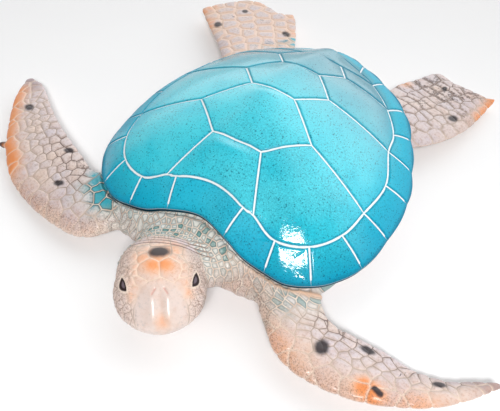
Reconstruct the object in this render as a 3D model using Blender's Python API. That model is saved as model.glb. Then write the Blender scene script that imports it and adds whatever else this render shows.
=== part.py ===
"""A sea turtle figurine, cast in one piece, that rests on the flat of its belly.

The head looks along -Y and turns to the turtle's left (+X). The origin is in the middle of the flat
underside. Every size is in millimetres until a mesh is made, which is in metres.
"""
import bpy
import numpy as np

# Driving dimensions
SHELL_LENGTH = 173.0        # from the front lobes of the carapace to its rear point
SHELL_WIDTH = 168.0         # across the rim, at its widest
SHELL_TOP = 66.5            # height of the dome's top over the ground
BELLY_LENGTH = 112.0        # the flat underside that it rests on
BELLY_WIDTH = 96.0
RIM_THICKNESS = 3.6         # of the carapace's edge
GROOVE_WIDTH = 3.0          # of the seams between the scutes, from shoulder to shoulder
GROOVE_DEPTH = 0.9
SCUTE_CROWN = 1.1           # how far the middle of a scute swells over its edge
KEEL_HEIGHT = 2.2           # the bump on the midline of each spine scute, near its rear edge
SCALLOP = 1.2               # how far the rear rim bulges between two seams
FRONT_THICKNESS = 13.0      # of a front flipper at its shoulder
REAR_THICKNESS = 9.0        # of a rear flipper at its hip
HEAD_WIDTH = 45.0
HEAD_LENGTH = 54.0          # from the beak to the back of the skull
NECK_FOLD = 0.7             # height of the folds behind the skull
NECK_FOLDS = 9
EYE_RADIUS = 4.6
EYE_SPREAD = .385           # of the eyes' middles from the face's, as a share of the head's width
EYE_RISE = .12              # over the head's own middle, as a share of its width
CLAW_LENGTH = 10.0
CLAW_RADIUS = 2.4
SEAM_STEP = 7.0             # spacing of the points along a seam

# How finely the forms are faceted: sections along each, and sides round it
RIM_STEPS = 720
LINE_STEPS = 20             # of the line inside the marginal scutes, between two corners
TRUNK_SIDES = 44
LIMB_SIDES = 14
FRONT_SECTIONS = 20
REAR_SECTIONS = 18
NECK_SECTIONS, NECK_SIDES = 20, 24
TAIL_SECTIONS, TAIL_SIDES = 7, 12
HEAD_SECTIONS, HEAD_SIDES = 18, 22
EYE_ROWS, EYE_SIDES = 8, 12
CLAW_SIDES = 8

MM = 0.001
# The free forms are set out on a grid of one unit, which is a millimetre at the real shell length.
U = SHELL_LENGTH / 173.0
WIDEN = SHELL_WIDTH / 166.0 / U
SHELL_MIDDLE = -10.0 * U    # the y that the shell's angles and shares are taken from

# Half of the carapace's edge in units, from the front notch to the rear point: x, y and height.
# It arches up over the neck and dips over the shoulders.
RIM = ((0, -77.5, 36), (17, -81.5, 34), (29, -84, 29), (41, -83.5, 24.5), (52, -82.5, 22.5),
       (63.5, -77, 22.5), (72, -68, 22.3), (79.5, -54.5, 22.4), (83, -33, 23), (82.5, -7, 24.5),
       (76.5, 13, 27), (67, 34.5, 28), (54.5, 55, 28), (36, 72, 27), (17, 82.5, 27), (0, 88, 27))
# The corners on the line inside the marginal scutes, from the front midline to the rear one, in
# degrees from the front and as shares of the rim's radius. The third is a corner of the first spine
# scute, and no marginal seam starts there.
INNER_CORNERS = ((0, .80), (19, .79), (24, .785), (33, .845), (45, .85), (58, .845), (71, .835),
                 (89, .85), (106, .82), (119, .855), (134, .83), (152, .81), (162, .80), (180, .80))
# The corners on the rim where the marginal seams end, in degrees.
RIM_CORNERS = {1: 13.3, 3: 29.3, 4: 43.6, 5: 60.8, 6: 74.7, 7: 92.2, 8: 106.6, 9: 123.7, 10: 140,
               11: 157.5, 12: 170, 13: 180}
# The zigzag edge of the spine scutes: half width and y in units, from the front.
SPINE_CORNERS = ((14.2, -42), (33, -24.5), (12.8, -6), (25.3, 9), (11.5, 25.5), (21.3, 39), (13.5, 50.6))
# Where a costal seam leaves the spine, and the inner corner that it runs to.
COSTAL_SEAMS = {1: 6, 3: 8, 5: 10, 6: 11}

# Half of the trunk's outline in units, under the shell and out to the shoulders: x and y.
TRUNK = ((0, -92), (20, -95), (38, -94), (53, -89), (66, -75), (73, -52), (77, -30), (76, -5),
         (70, 14), (60, 34), (46, 54), (30, 70), (14, 80), (0, 83))
# The trunk's flank, from inside the shell down to the ground: share of the outline, height in units.
FLANK = ((.45, 44), (.75, 36), (.90, 27), (.98, 18), (1.0, 13), (.95, 7), (.84, 2.5))

# Flippers in units: leading edge, trailing edge (x, y, z each) and thickness as a share of the root's.
LEFT_FRONT = (((26, -74, 17), (44, -50, 17), 1.0),
              ((44, -94.5, 14), (62, -64, 17), 1.0),
              ((54, -103.5, 13), (71, -78, 14), .92),
              ((66, -112.5, 12), (80, -84, 12), .80),
              ((82, -116, 12), (92, -83, 9), .70),
              ((106, -114, 13), (108, -82, 7), .58),
              ((122, -108, 14), (122, -83, 6), .46),
              ((138, -97, 13), (137, -80, 6), .36),
              ((150, -84, 11), (148, -73.5, 6), .28),
              ((159, -71, 8), (156, -70, 7), .20))
RIGHT_FRONT = (((-26, -70, 17), (-44, -50, 17), 1.0),
               ((-45, -96, 13), (-65, -66, 17), 1.0),
               ((-60, -106, 9), (-79, -69, 16), .90),
               ((-80, -106, 7), (-95, -62, 14), .78),
               ((-104, -101, 5), (-110, -55, 13), .66),
               ((-126, -92, 5), (-126, -47, 12), .56),
               ((-145.5, -76, 5), (-141, -38, 11), .46),
               ((-162.5, -56, 5), (-154, -29, 9), .38),
               ((-175, -38, 5), (-166, -21, 7), .30),
               ((-181, -22, 5), (-178, -18, 6), .20))
LEFT_REAR = (((50, 30, 17), (24, 60, 17), 1.0),
             ((67, 45, 14), (33, 82, 14), 1.0),
             ((80, 63, 11), (36, 98, 11), .85),
             ((88, 83, 8), (42, 110, 9), .68),
             ((91.5, 101, 6), (52, 128, 7), .55),
             ((93, 113, 5), (62, 125.5, 6), .42),
             ((94, 119, 5), (76, 125, 5), .32),
             ((94.5, 123.5, 6), (88, 121.8, 5), .22))
RIGHT_REAR = (((-50, 30, 17), (-24, 60, 17), 1.0),
              ((-70, 52, 15), (-34, 82, 14), 1.0),
              ((-86, 69, 13), (-42, 100, 12), .85),
              ((-104, 85, 12), (-48, 112, 11), .68),
              ((-116, 96, 11), (-54, 123, 11), .58),
              ((-122.5, 103, 11), (-61, 131.5, 11), .48),
              ((-119, 110, 11), (-69.5, 127.5, 11), .42),
              ((-110, 121, 11), (-80, 131, 11), .35),
              ((-101, 129, 11), (-90, 133, 11), .28))

# A station of the neck or tail in units: x, y, height of its middle, half width, rise over it, drop.
NECK = ((0, -52, 20, 36, 11, 15), (-1, -70, 20, 34, 12, 15), (-2, -82, 19, 30, 13, 14),
        (-2, -92, 19, 27, 13.5, 14), (-3, -100, 21, 21, 13.5, 15), (-2, -107, 22, 18, 13, 14),
        (0, -112, 22, 14, 9, 10))
TAIL = ((0, 66, 16, 15, 6, 8), (0, 78, 13, 10, 5, 6), (0, 86, 11, 6, 3.5, 4), (0, 92, 10, 2.5, 2, 2))
HEAD_PLACE = (4.0, -116.5, 24.0)    # between the eyes, in units
HEAD_TURN = 36.0                    # degrees to the turtle's left
# A station of the head: the share of its length before the eyes, then half width, rise and drop as
# shares of its width.
HEAD = ((-.50, .25, .16, .22), (-.40, .39, .25, .32), (-.27, .465, .31, .38), (-.12, .475, .33, .41),
        (.02, .495, .31, .42), (.13, .475, .26, .41), (.23, .425, .19, .34), (.31, .345, .12, .27),
        (.37, .25, .06, .19), (.405, .13, .01, .11))
# Claw roots and the points that they aim at, in units.
CLAWS = (((107, -105, 15.5), (117, -107, 15.5)), ((-143, -73.5, 6), (-152, -74.5, 4.6)))


def smooth(points, count, closed=False):
    """Carry a Catmull-Rom curve through the points and read it at `count` even parameters."""
    points = np.asarray(points, float)
    if closed:
        padded = np.vstack([points[-1:], points, points[:2]])
        spans = len(points)
    else:
        padded = np.vstack([2 * points[0] - points[1], points, 2 * points[-1] - points[-2]])
        spans = len(points) - 1
    along = np.linspace(0, spans, count, endpoint=not closed)
    span = np.minimum(along.astype(int), spans - 1)
    t = (along - span)[:, None]
    a, b, c, d = (padded[span + k] for k in range(4))
    curve = 2 * b + (c - a) * t + (2 * a - 5 * b + 4 * c - d) * t ** 2 + (3 * b - 3 * c + d - a) * t ** 3
    return curve / 2


def both_sides(half):
    """Close a half outline, which starts and ends on the midline, with its mirror image."""
    half = np.array(half, float)
    other = half[-2:0:-1].copy()
    other[:, 0] *= -1
    return np.vstack([half, other])


RIM_CURVE = smooth(both_sides(RIM) * (U * WIDEN, U, U), RIM_STEPS, closed=True)
RIM_ANGLE = np.arctan2(RIM_CURVE[:, 0], SHELL_MIDDLE - RIM_CURVE[:, 1])
RIM_RADIUS = np.hypot(RIM_CURVE[:, 0], RIM_CURVE[:, 1] - SHELL_MIDDLE)


def rim_at(angle):
    """The rim's radius about the shell's middle, and its height, at angles from the front."""
    turn = 2 * np.pi
    return (np.interp(angle, RIM_ANGLE, RIM_RADIUS, period=turn),
            np.interp(angle, RIM_ANGLE, RIM_CURVE[:, 2], period=turn))


def on_shell(degrees, share):
    """A point in plan, at an angle from the front and a share of the rim's radius."""
    angle = np.radians(degrees)
    radius = rim_at(angle)[0] * share
    return np.stack([radius * np.sin(angle), SHELL_MIDDLE - radius * np.cos(angle)], axis=-1)


def dome(plan):
    """Height of the smooth carapace: full at the rim and flatter to the top."""
    angle = np.arctan2(plan[:, 0], SHELL_MIDDLE - plan[:, 1])
    radius, height = rim_at(angle)
    share = np.minimum(np.hypot(plan[:, 0], plan[:, 1] - SHELL_MIDDLE) / radius, 1)
    return height + (SHELL_TOP - height) * (1 - share ** 1.5) ** .8


def lift(plan, height):
    """Points of the dome, moved out along its normal by a height."""
    step = .5
    slope_x = (dome(plan + (step, 0)) - dome(plan - (step, 0))) / (2 * step)
    slope_y = (dome(plan + (0, step)) - dome(plan - (0, step))) / (2 * step)
    normal = np.stack([-slope_x, -slope_y, np.ones(len(plan))], axis=1)
    normal /= np.linalg.norm(normal, axis=1)[:, None]
    return np.column_stack([plan, dome(plan)]) + normal * np.asarray(height)[:, None]


class Seams:
    """The net of seams in plan: corners by name, and the points along each edge between two."""

    def __init__(self):
        self.points, self.depth, self.corners, self.edges = [], [], {}, {}

    def corner(self, name, point, depth=GROOVE_DEPTH):
        self.corners[name] = len(self.points)
        self.points.append(np.asarray(point, float))
        self.depth.append(depth)

    def edge(self, start, end, curve=None, depth=GROOVE_DEPTH):
        """Join two corners, along a straight line or a curve given as a function from 0 to 1."""
        a, b = self.points[self.corners[start]], self.points[self.corners[end]]
        count = max(2, round(float(np.linalg.norm(b - a)) / SEAM_STEP))
        chain = [self.corners[start]]
        for t in np.arange(1, count) / count:
            chain.append(len(self.points))
            self.points.append(a + (b - a) * t if curve is None else curve(t))
            self.depth.append(depth)
        chain.append(self.corners[end])
        self.edges[start, end] = chain
        self.edges[end, start] = chain[::-1]

    def loop(self, names):
        """The point numbers once round a scute."""
        around = []
        for start, end in zip(names, names[1:] + names[:1]):
            around += self.edges[start, end][:-1]
        return around


def seam_net():
    """Lay out every seam of the carapace, both sides, and the corner names round each scute."""
    net = Seams()
    inner = [on_shell(degrees, share) for degrees, share in INNER_CORNERS]
    inner = both_sides(inner)
    total = len(inner)
    line = smooth(inner, total * LINE_STEPS, closed=True)
    turns = np.append(np.arange(total * LINE_STEPS) / LINE_STEPS, total)
    line = np.vstack([line, line[:1]])
    for k, point in enumerate(inner):
        net.corner(("inner", k), point)
    for k in range(total):
        net.edge(("inner", k), ("inner", (k + 1) % total), lambda t, k=k: np.array(
            [np.interp(k + t, turns, line[:, 0]), np.interp(k + t, turns, line[:, 1])]))

    rim = dict(RIM_CORNERS)
    rim.update({total - k: 360 - degrees for k, degrees in RIM_CORNERS.items() if degrees < 180})
    order = sorted(rim)
    for k in order:
        net.corner(("rim", k), on_shell(rim[k], 1.0))
        net.edge(("inner", k), ("rim", k))
    for k, following in zip(order, order[1:] + order[:1]):
        start, sweep = rim[k], (rim[following] - rim[k]) % 360
        rear = .5 - .5 * np.cos(np.radians(start + sweep / 2))

        def along_rim(t, start=start, sweep=sweep, rear=rear):
            point = on_shell(start + sweep * t, 1.0)
            out = point - (0, SHELL_MIDDLE)
            return point + out / np.linalg.norm(out) * SCALLOP * rear * np.sin(np.pi * t)

        net.edge(("rim", k), ("rim", following), along_rim, depth=0)

    for side, mirror in ((1, lambda k: k), (-1, lambda k: total - k)):
        for k, (x, y) in enumerate(SPINE_CORNERS):
            net.corner(("spine", k, side), (x * U * WIDEN * side, y * U))
        net.edge(("inner", mirror(2)), ("spine", 0, side))
        for k in range(len(SPINE_CORNERS) - 1):
            net.edge(("spine", k, side), ("spine", k + 1, side))
        for k, end in COSTAL_SEAMS.items():
            net.edge(("spine", k, side), ("inner", mirror(end)))
    for k in (0, 2, 4, 6):
        net.edge(("spine", k, 1), ("spine", k, -1))

    def spine(k, side=1):
        return "spine", k, side

    def ring(*numbers):
        return [("inner", k % total) for k in numbers]

    scutes = [ring(2, 1, 0, -1, -2) + [spine(0, -1), spine(0)]]
    for k in (0, 2, 4):
        scutes.append([spine(k), spine(k + 1), spine(k + 2),
                       spine(k + 2, -1), spine(k + 1, -1), spine(k, -1)])
    scutes.append([spine(6)] + ring(11, 12, 13, 14, 15) + [spine(6, -1)])
    spines = len(scutes)
    for side in (1, -1):
        scutes.append(ring(*(side * k for k in (2, 3, 4, 5, 6))) + [spine(1, side), spine(0, side)])
        scutes.append(ring(*(side * k for k in (6, 7, 8))) + [spine(3, side), spine(2, side), spine(1, side)])
        scutes.append(ring(*(side * k for k in (8, 9, 10)))
                      + [spine(5, side), spine(4, side), spine(3, side)])
        scutes.append(ring(*(side * k for k in (10, 11))) + [spine(6, side), spine(5, side)])
    for k, following in zip(order, order[1:] + order[:1]):
        between = list(range(k, following + 1)) if following > k else list(range(k, total + following + 1))
        scutes.append(ring(*between) + [("rim", following), ("rim", k)])
    rim_loop = net.loop([("rim", k) for k in order])
    return net, scutes, spines, rim_loop


def keel(plan, scute_points):
    """The bump on the midline of a spine scute, a little before its rear edge."""
    front, rear = scute_points[:, 1].min(), scute_points[:, 1].max()
    peak = front + .82 * (rear - front)
    across = np.exp(-(plan[:, 0] / (9 * U)) ** 2)
    run = np.where(plan[:, 1] < peak, (peak - plan[:, 1]) / (peak - front),
                   (plan[:, 1] - peak) / (rear - peak))
    return KEEL_HEIGHT * across * np.clip(1 - run, 0, 1) ** 1.2


def carapace():
    """Each scute is a fan of rings between its seams and its middle, and the rim curls under."""
    net, scutes, spines, rim_loop = seam_net()
    plan = [np.array(net.points)]
    height = [-np.array(net.depth)]
    total = len(net.points)
    faces = []
    for number, names in enumerate(scutes):
        loop = np.array(net.loop(names))
        border = plan[0][loop]
        following = np.roll(border, -1, axis=0)
        signed = (border[:, 0] * following[:, 1] - following[:, 0] * border[:, 1]).sum()
        if signed < 0:
            loop, border = loop[::-1], border[::-1]
        tangent = np.roll(border, -1, axis=0) - np.roll(border, 1, axis=0)
        inward = np.stack([-tangent[:, 1], tangent[:, 0]], axis=1)
        inward /= np.linalg.norm(inward, axis=1)[:, None]
        middle = border.mean(axis=0)
        reach = np.maximum(((middle - border) * inward).sum(axis=1), GROOVE_WIDTH)
        shoulder = GROOVE_WIDTH / 2 / reach
        crown = SCUTE_CROWN * min(1, reach.mean() / (16 * U))
        previous = loop
        for share in (0, .35, .7):
            t = shoulder + (1 - shoulder) * share
            ring = border + (middle - border) * t[:, None]
            rise = crown * (1 - (1 - share) ** 2) * np.ones(len(ring))
            if number < spines:
                rise += keel(ring, border)
            plan.append(ring)
            height.append(rise)
            current = np.arange(total, total + len(ring))
            total += len(ring)
            faces += [tuple(quad) for quad in np.stack(
                [previous, np.roll(previous, -1), np.roll(current, -1), current], axis=1).tolist()]
            previous = current
        rise = np.array([crown])
        if number < spines:
            rise += keel(middle[None], border)
        plan.append(middle[None])
        height.append(rise)
        faces += [(a, b, total) for a, b in zip(previous.tolist(), np.roll(previous, -1).tolist())]
        total += 1
    top = lift(np.vstack(plan), np.concatenate(height))

    edge = top[rim_loop]
    out = edge[:, :2] - (0, SHELL_MIDDLE)
    out /= np.linalg.norm(out, axis=1)[:, None]
    points = [top]
    previous = np.array(rim_loop)
    for inset, drop in ((.1, .5), (.7, 1.0), (2.6, .9)):
        ring = edge.copy()
        ring[:, :2] -= out * inset * RIM_THICKNESS
        ring[:, 2] -= drop * RIM_THICKNESS
        points.append(ring)
        current = np.arange(total, total + len(ring))
        total += len(ring)
        faces += [tuple(quad) for quad in np.stack(
            [previous, current, np.roll(current, -1), np.roll(previous, -1)], axis=1).tolist()]
        previous = current
    points.append(np.array([[0, SHELL_MIDDLE, 20 * U]]))
    faces += [(total, b, a) for a, b in zip(previous.tolist(), np.roll(previous, -1).tolist())]
    return np.vstack(points), faces


def loft(rings):
    """Skin a stack of rings with the same number of points and close both ends with a fan."""
    count = rings.shape[1]
    points = np.vstack([rings.reshape(-1, 3), rings[0].mean(axis=0), rings[-1].mean(axis=0)])
    first, last = len(points) - 2, len(points) - 1
    here = np.arange(count)
    after = np.roll(here, -1)
    faces = []
    for k in range(len(rings) - 1):
        a, b = k * count, (k + 1) * count
        faces += np.stack([a + here, a + after, b + after, b + here], axis=1).tolist()
    end = (len(rings) - 1) * count
    faces += [[first, b, a] for a, b in zip(here.tolist(), after.tolist())]
    faces += [[last, end + a, end + b] for a, b in zip(here.tolist(), after.tolist())]
    return points, faces


def trunk():
    """The body under the shell: an outline carried down the flank to the flat belly."""
    outline = smooth(both_sides(TRUNK) * (U * WIDEN, U), TRUNK_SIDES, closed=True)
    middle = np.array([0, SHELL_MIDDLE])
    rings = [np.column_stack([middle + (outline - middle) * share, np.full(len(outline), height * U)])
             for share, height in FLANK]
    angle = np.arctan2(outline[:, 0], SHELL_MIDDLE - outline[:, 1])
    belly = np.column_stack([BELLY_WIDTH / 2 * np.sin(angle), -BELLY_LENGTH / 2 * np.cos(angle),
                             np.zeros(len(angle))])
    return loft(np.array(rings + [belly])[::-1])


def flipper(stations, thickness, spans, count=LIMB_SIDES):
    """Loft between a leading and a trailing edge, blunt in front, thin behind and flatter below."""
    table = smooth([lead + trail + (share,) for lead, trail, share in stations], spans)
    lead, trail, share = table[:, :3] * U, table[:, 3:6] * U, table[:, 6]
    middle, chord = (lead + trail) / 2, (lead - trail) / 2
    run = np.gradient(middle, axis=0)
    normal = np.cross(run, chord)
    normal /= np.linalg.norm(normal, axis=1)[:, None]
    normal *= np.sign(normal[:, 2])[:, None]
    turn = np.arange(count) * 2 * np.pi / count
    swell = np.sin(turn) * (1 + .35 * np.cos(turn)) * np.where(np.sin(turn) < 0, .75, 1)
    rings = (middle[:, None] + chord[:, None] * np.cos(turn)[None, :, None]
             + normal[:, None] * (share * thickness / 2)[:, None, None] * swell[None, :, None])
    return loft(rings)


def tube(stations, spans, count, fold=0.0, folds=0):
    """Loft through stations of a middle, half width, rise and drop, with folds across its back."""
    table = smooth(np.array(stations, float) * U, spans)
    run = np.gradient(table[:, :2], axis=0)
    run /= np.linalg.norm(run, axis=1)[:, None]
    side = np.stack([-run[:, 1], run[:, 0], np.zeros(spans)], axis=1)
    turn = np.arange(count) * 2 * np.pi / count
    rise = np.where(np.sin(turn)[None] > 0, table[:, 4:5], table[:, 5:6])
    wave = 1 + fold / table[:, 4:5] * np.cos(np.linspace(0, 2 * np.pi * folds, spans))[:, None]
    rings = (table[:, None, :3] + side[:, None] * (table[:, 3:4] * np.cos(turn)[None] * wave)[..., None]
             + np.array([0, 0, 1.0]) * (rise * np.sin(turn)[None] * wave)[..., None])
    return loft(rings)


def head():
    """Loft along the skull's own axis, widest at the cheeks, with the beak drawn in to a point."""
    table = smooth(HEAD, HEAD_SECTIONS)
    turn = np.radians(HEAD_TURN)
    ahead = np.array([np.sin(turn), -np.cos(turn), 0])
    side = np.array([np.cos(turn), np.sin(turn), 0])
    around = np.arange(HEAD_SIDES) * 2 * np.pi / HEAD_SIDES
    up = np.sin(around)
    jaw = 1 - .22 * np.clip(-up, 0, 1) ** 2
    rise = np.where(up[None] > 0, table[:, 2:3], table[:, 3:4]) * up
    place = np.array(HEAD_PLACE) * U
    rings = (place + ahead * (table[:, 0] * HEAD_LENGTH)[:, None, None]
             + side * (table[:, 1:2] * np.cos(around) * jaw * HEAD_WIDTH)[..., None]
             + np.array([0, 0, 1.0]) * (rise * HEAD_WIDTH)[..., None])
    return loft(rings)


def add_form(name, shape, collection, material):
    """Make a closed mesh object of points in millimetres."""
    points, faces = shape
    mesh = bpy.data.meshes.new(name)
    mesh.from_pydata((np.asarray(points) * MM).tolist(), [], faces)
    mesh.update()
    mesh.shade_smooth()
    mesh.materials.append(material)
    form = bpy.data.objects.new(name, mesh)
    collection.objects.link(form)
    return form


def eye(side):
    """An eyeball that stands a little proud of the cheek."""
    turn = np.radians(HEAD_TURN)
    across = np.array([np.cos(turn), np.sin(turn), 0]) * side * EYE_SPREAD * HEAD_WIDTH
    place = np.array(HEAD_PLACE) * U + across + (0, 0, EYE_RISE * HEAD_WIDTH)
    return ball(place, EYE_RADIUS)


def ball(middle, radius, rows=EYE_ROWS, count=EYE_SIDES):
    """A sphere as a loft of circles between two small ones at the poles."""
    tilt = np.linspace(.15, np.pi - .15, rows)
    turn = np.arange(count) * 2 * np.pi / count
    rings = np.stack([np.outer(np.sin(tilt), np.cos(turn)), np.outer(np.sin(tilt), np.sin(turn)),
                      np.outer(-np.cos(tilt), np.ones(count))], axis=-1)
    return loft(middle + radius * rings)


def claw(root, aim):
    """A blunt cone from inside a flipper's edge."""
    root, aim = np.array(root) * U, np.array(aim) * U
    ahead = (aim - root) / np.linalg.norm(aim - root)
    side = np.cross(ahead, (0, 0, 1.0))
    side /= np.linalg.norm(side)
    up = np.cross(side, ahead)
    turn = np.arange(CLAW_SIDES) * 2 * np.pi / CLAW_SIDES
    rings = [root + ahead * CLAW_LENGTH * run
             + CLAW_RADIUS * width * (np.outer(np.cos(turn), side) + np.outer(np.sin(turn), up))
             for run, width in ((0, 1), (.5, .8), (.85, .45), (1, .15))]
    return loft(np.array(rings))


def paint(name, colour, roughness):
    material = bpy.data.materials.new(name)
    material.use_nodes = True
    shader = material.node_tree.nodes["Principled BSDF"]
    shader.inputs["Base Color"].default_value = (*colour, 1)
    shader.inputs["Roughness"].default_value = roughness
    shader.inputs["Metallic"].default_value = 0
    return material


def new_collection(name):
    collection = bpy.data.collections.new(name)
    bpy.context.scene.collection.children.link(collection)
    return collection


for thing in list(bpy.data.objects):
    bpy.data.objects.remove(thing, do_unlink=True)

model = new_collection("sea turtle figurine")
forms = new_collection("forms to fuse")
enamel = paint("turquoise enamel", (.05, .45, .60), .15)
skin = paint("painted skin", (.62, .48, .38), .45)

turtle = add_form("sea_turtle", carapace(), model, enamel)
added = [add_form("trunk", trunk(), forms, skin),
         add_form("neck", tube(NECK, NECK_SECTIONS, NECK_SIDES, NECK_FOLD, NECK_FOLDS), forms, skin),
         add_form("head", head(), forms, skin),
         add_form("left_front_flipper", flipper(LEFT_FRONT, FRONT_THICKNESS, FRONT_SECTIONS), forms, skin),
         add_form("right_front_flipper", flipper(RIGHT_FRONT, FRONT_THICKNESS, FRONT_SECTIONS), forms, skin),
         add_form("left_rear_flipper", flipper(LEFT_REAR, REAR_THICKNESS, REAR_SECTIONS), forms, skin),
         add_form("right_rear_flipper", flipper(RIGHT_REAR, REAR_THICKNESS, REAR_SECTIONS), forms, skin),
         add_form("tail", tube(TAIL, TAIL_SECTIONS, TAIL_SIDES), forms, skin),
         add_form("left_eye", eye(1), forms, skin),
         add_form("right_eye", eye(-1), forms, skin)]
added += [add_form("claw_%d" % number, claw(*ends), forms, skin) for number, ends in enumerate(CLAWS, 1)]
for form in added:
    form.hide_render = True
    form.display_type = "WIRE"
    fuse = turtle.modifiers.new("fuse " + form.name, "BOOLEAN")
    fuse.operation = "UNION"
    fuse.solver = "EXACT"
    fuse.object = form
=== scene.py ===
import bpy
import numpy as np
from mathutils import Matrix, Vector


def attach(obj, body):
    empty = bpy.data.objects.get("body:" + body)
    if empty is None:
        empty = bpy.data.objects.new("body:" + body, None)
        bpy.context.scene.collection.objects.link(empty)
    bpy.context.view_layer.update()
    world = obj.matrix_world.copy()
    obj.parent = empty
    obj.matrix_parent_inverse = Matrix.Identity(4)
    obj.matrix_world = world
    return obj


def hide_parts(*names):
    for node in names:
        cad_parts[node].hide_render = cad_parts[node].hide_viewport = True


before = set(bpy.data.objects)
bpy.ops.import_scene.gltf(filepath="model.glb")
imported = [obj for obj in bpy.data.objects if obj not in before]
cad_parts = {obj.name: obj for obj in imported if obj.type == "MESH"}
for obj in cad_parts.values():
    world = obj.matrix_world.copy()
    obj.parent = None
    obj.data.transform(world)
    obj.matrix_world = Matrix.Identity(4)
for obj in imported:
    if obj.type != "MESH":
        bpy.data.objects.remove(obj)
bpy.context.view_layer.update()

# The table and the studio. A matt white board lies under the figure in a pale room that is bright behind
# its tail, which leaves the haze on the shell. A small soft box before its left shoulder marks the rim.
MM = .001                          # both pieces are worked out in millimetres until their mesh is made
CAMERA_PLACE = (.1280, -.2372, .2831)
CAMERA_TURN = 31.58                # degrees round from the front, to the turtle's left
CAMERA_RISE = 49.76                # degrees above the table
CAMERA_LENS = 46.5                 # mm, on a sensor 36 mm wide
BOARD_SIZE = 6.0                   # metres, as all places and sizes of the studio
BOX_PLACE = (.325, -.552, .672)
BOX_SIZE = (.26, .17)
BOX_POWER = 5.6                    # watts
ROOM_DARK, ROOM_BRIGHT = .12, 1.75    # the room's light before the head and behind the tail


def srgb(red, green, blue):
    """A colour given as eight-bit screen values, as the linear values that the shaders work in."""
    screen = np.array([red, green, blue]) / 255
    linear = np.where(screen <= .04045, screen / 12.92, ((screen + .055) / 1.055) ** 2.4)
    return (*linear.tolist(), 1.0)


def facing(place, out):
    """The matrix of a camera or lamp at a place, with its back towards `out` and no roll."""
    out = Vector(out).normalized()
    right = Vector((0, 0, 1)).cross(out).normalized()
    return Matrix.Translation(place) @ Matrix((right, out.cross(right), out)).transposed().to_4x4()


turn, rise = np.radians(CAMERA_TURN), np.radians(CAMERA_RISE)
camera = bpy.data.objects.new("camera", bpy.data.cameras.new("camera"))
camera.data.lens = CAMERA_LENS
camera.data.sensor_width = 36
camera.data.clip_start = .01
back = (np.sin(turn) * np.cos(rise), -np.cos(turn) * np.cos(rise), np.sin(rise))
camera.matrix_world = facing(CAMERA_PLACE, back)
bpy.context.scene.collection.objects.link(camera)
bpy.context.scene.camera = camera

lamp = bpy.data.objects.new("small_box", bpy.data.lights.new("small_box", "AREA"))
lamp.data.shape = "RECTANGLE"
lamp.data.size, lamp.data.size_y = BOX_SIZE
lamp.data.energy = BOX_POWER
lamp.matrix_world = facing(BOX_PLACE, BOX_PLACE)
bpy.context.scene.collection.objects.link(lamp)

bpy.context.scene.view_settings.view_transform = "Standard"


class Value:
    """A shader socket that is written like a number: each operator adds the Math node that works it out."""

    def __init__(self, paint, socket):
        self.paint, self.socket = paint, socket

    def math(self, operation, *others):
        return self.paint.node("Math", {"operation": operation}, dict(enumerate((self, *others))))

    def output(self, name):
        """Another output of the same node."""
        return Value(self.paint, self.socket.node.outputs[name])

    def __add__(self, other):
        return self.math("ADD", other)

    def __sub__(self, other):
        return self.math("SUBTRACT", other)

    def __rsub__(self, other):
        return self.paint.node("Math", {"operation": "SUBTRACT"}, {0: other, 1: self})

    def __mul__(self, other):
        return self.math("MULTIPLY", other)

    __radd__, __rmul__ = __add__, __mul__


class Paint:
    """A material or world. A colour is a Value or three screen values, and `tone` is the colour so far."""

    def __init__(self, name, kind=bpy.data.materials):
        self.material = kind.new(name)
        self.material.use_nodes = True
        self.tree = self.material.node_tree
        self.shader = self.tree.nodes.get("Principled BSDF") or self.tree.nodes["Background"]

    def node(self, kind, settings=(), values=(), output=0):
        """Add a node of any kind: its settings are set first, then its sockets."""
        node = self.tree.nodes.new("ShaderNode" + kind)
        for name, setting in dict(settings).items():
            setattr(node, name, setting)
        for name, value in dict(values).items():
            self.feed(node.inputs[name], value)
        return Value(self, node.outputs[output])

    def feed(self, socket, value):
        if isinstance(value, Value):
            self.tree.links.new(value.socket, socket)
        else:
            socket.default_value = value

    def set(self, **values):
        """Set or link the shader's own sockets, such as base_color or coat_weight."""
        for name, value in values.items():
            self.feed(self.shader.inputs[name.replace("_", " ").title().replace("Ior", "IOR")], value)

    def read(self, name, output="Fac"):
        return self.node("Attribute", {"attribute_name": name}, output=output)

    def step(self, value, low, high):
        """0 below one value, 1 above the other, and smooth between them."""
        return self.node("MapRange", {"interpolation_type": "SMOOTHSTEP"}, {0: value, 1: low, 2: high})

    def fade(self, value, low, high):
        """The step turned round: 1 below one value and 0 above the other."""
        return 1 - self.step(value, low, high)

    def mix(self, share, first, second):
        """From the first colour to the second. The Mix node's sockets 6 and 7 are its two colours."""
        first, second = (colour if isinstance(colour, Value) else srgb(*colour) for colour in (first, second))
        return self.node("Mix", {"data_type": "RGBA"}, {0: share, 6: first, 7: second}, output=2)

    def over(self, share, colour):
        """Lay a share of a colour over what has been painted so far."""
        self.tone = self.mix(share, self.tone, colour)

    def place(self):
        return self.node("TexCoord", output="Object")

    def noise(self, size, detail=2.0, rough=.5, output="Fac"):
        """Clouds of about the size given in millimetres."""
        values = {"Vector": self.place(), "Scale": 1 / (size * MM), "Detail": detail, "Roughness": rough}
        return self.node("TexNoise", {}, values, output=output)

    def dots(self, size):
        """Distance from, and a number for, the nearest of many scattered points about `size` mm apart."""
        values = {"Vector": self.place(), "Scale": 1 / (size * MM)}
        cell = self.node("TexVoronoi", {}, values)
        number = self.node("SeparateXYZ", {}, {0: cell.output("Color")})
        return cell * size, number


room = Paint("white room", bpy.data.worlds)
behind = room.node("SeparateXYZ", {}, {0: room.node("TexCoord")}, output=1)
room.set(color=(1, 1, 1, 1), strength=room.step(behind, -.2, .95) * (ROOM_BRIGHT - ROOM_DARK) + ROOM_DARK)
bpy.context.scene.world = room.material

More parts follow.
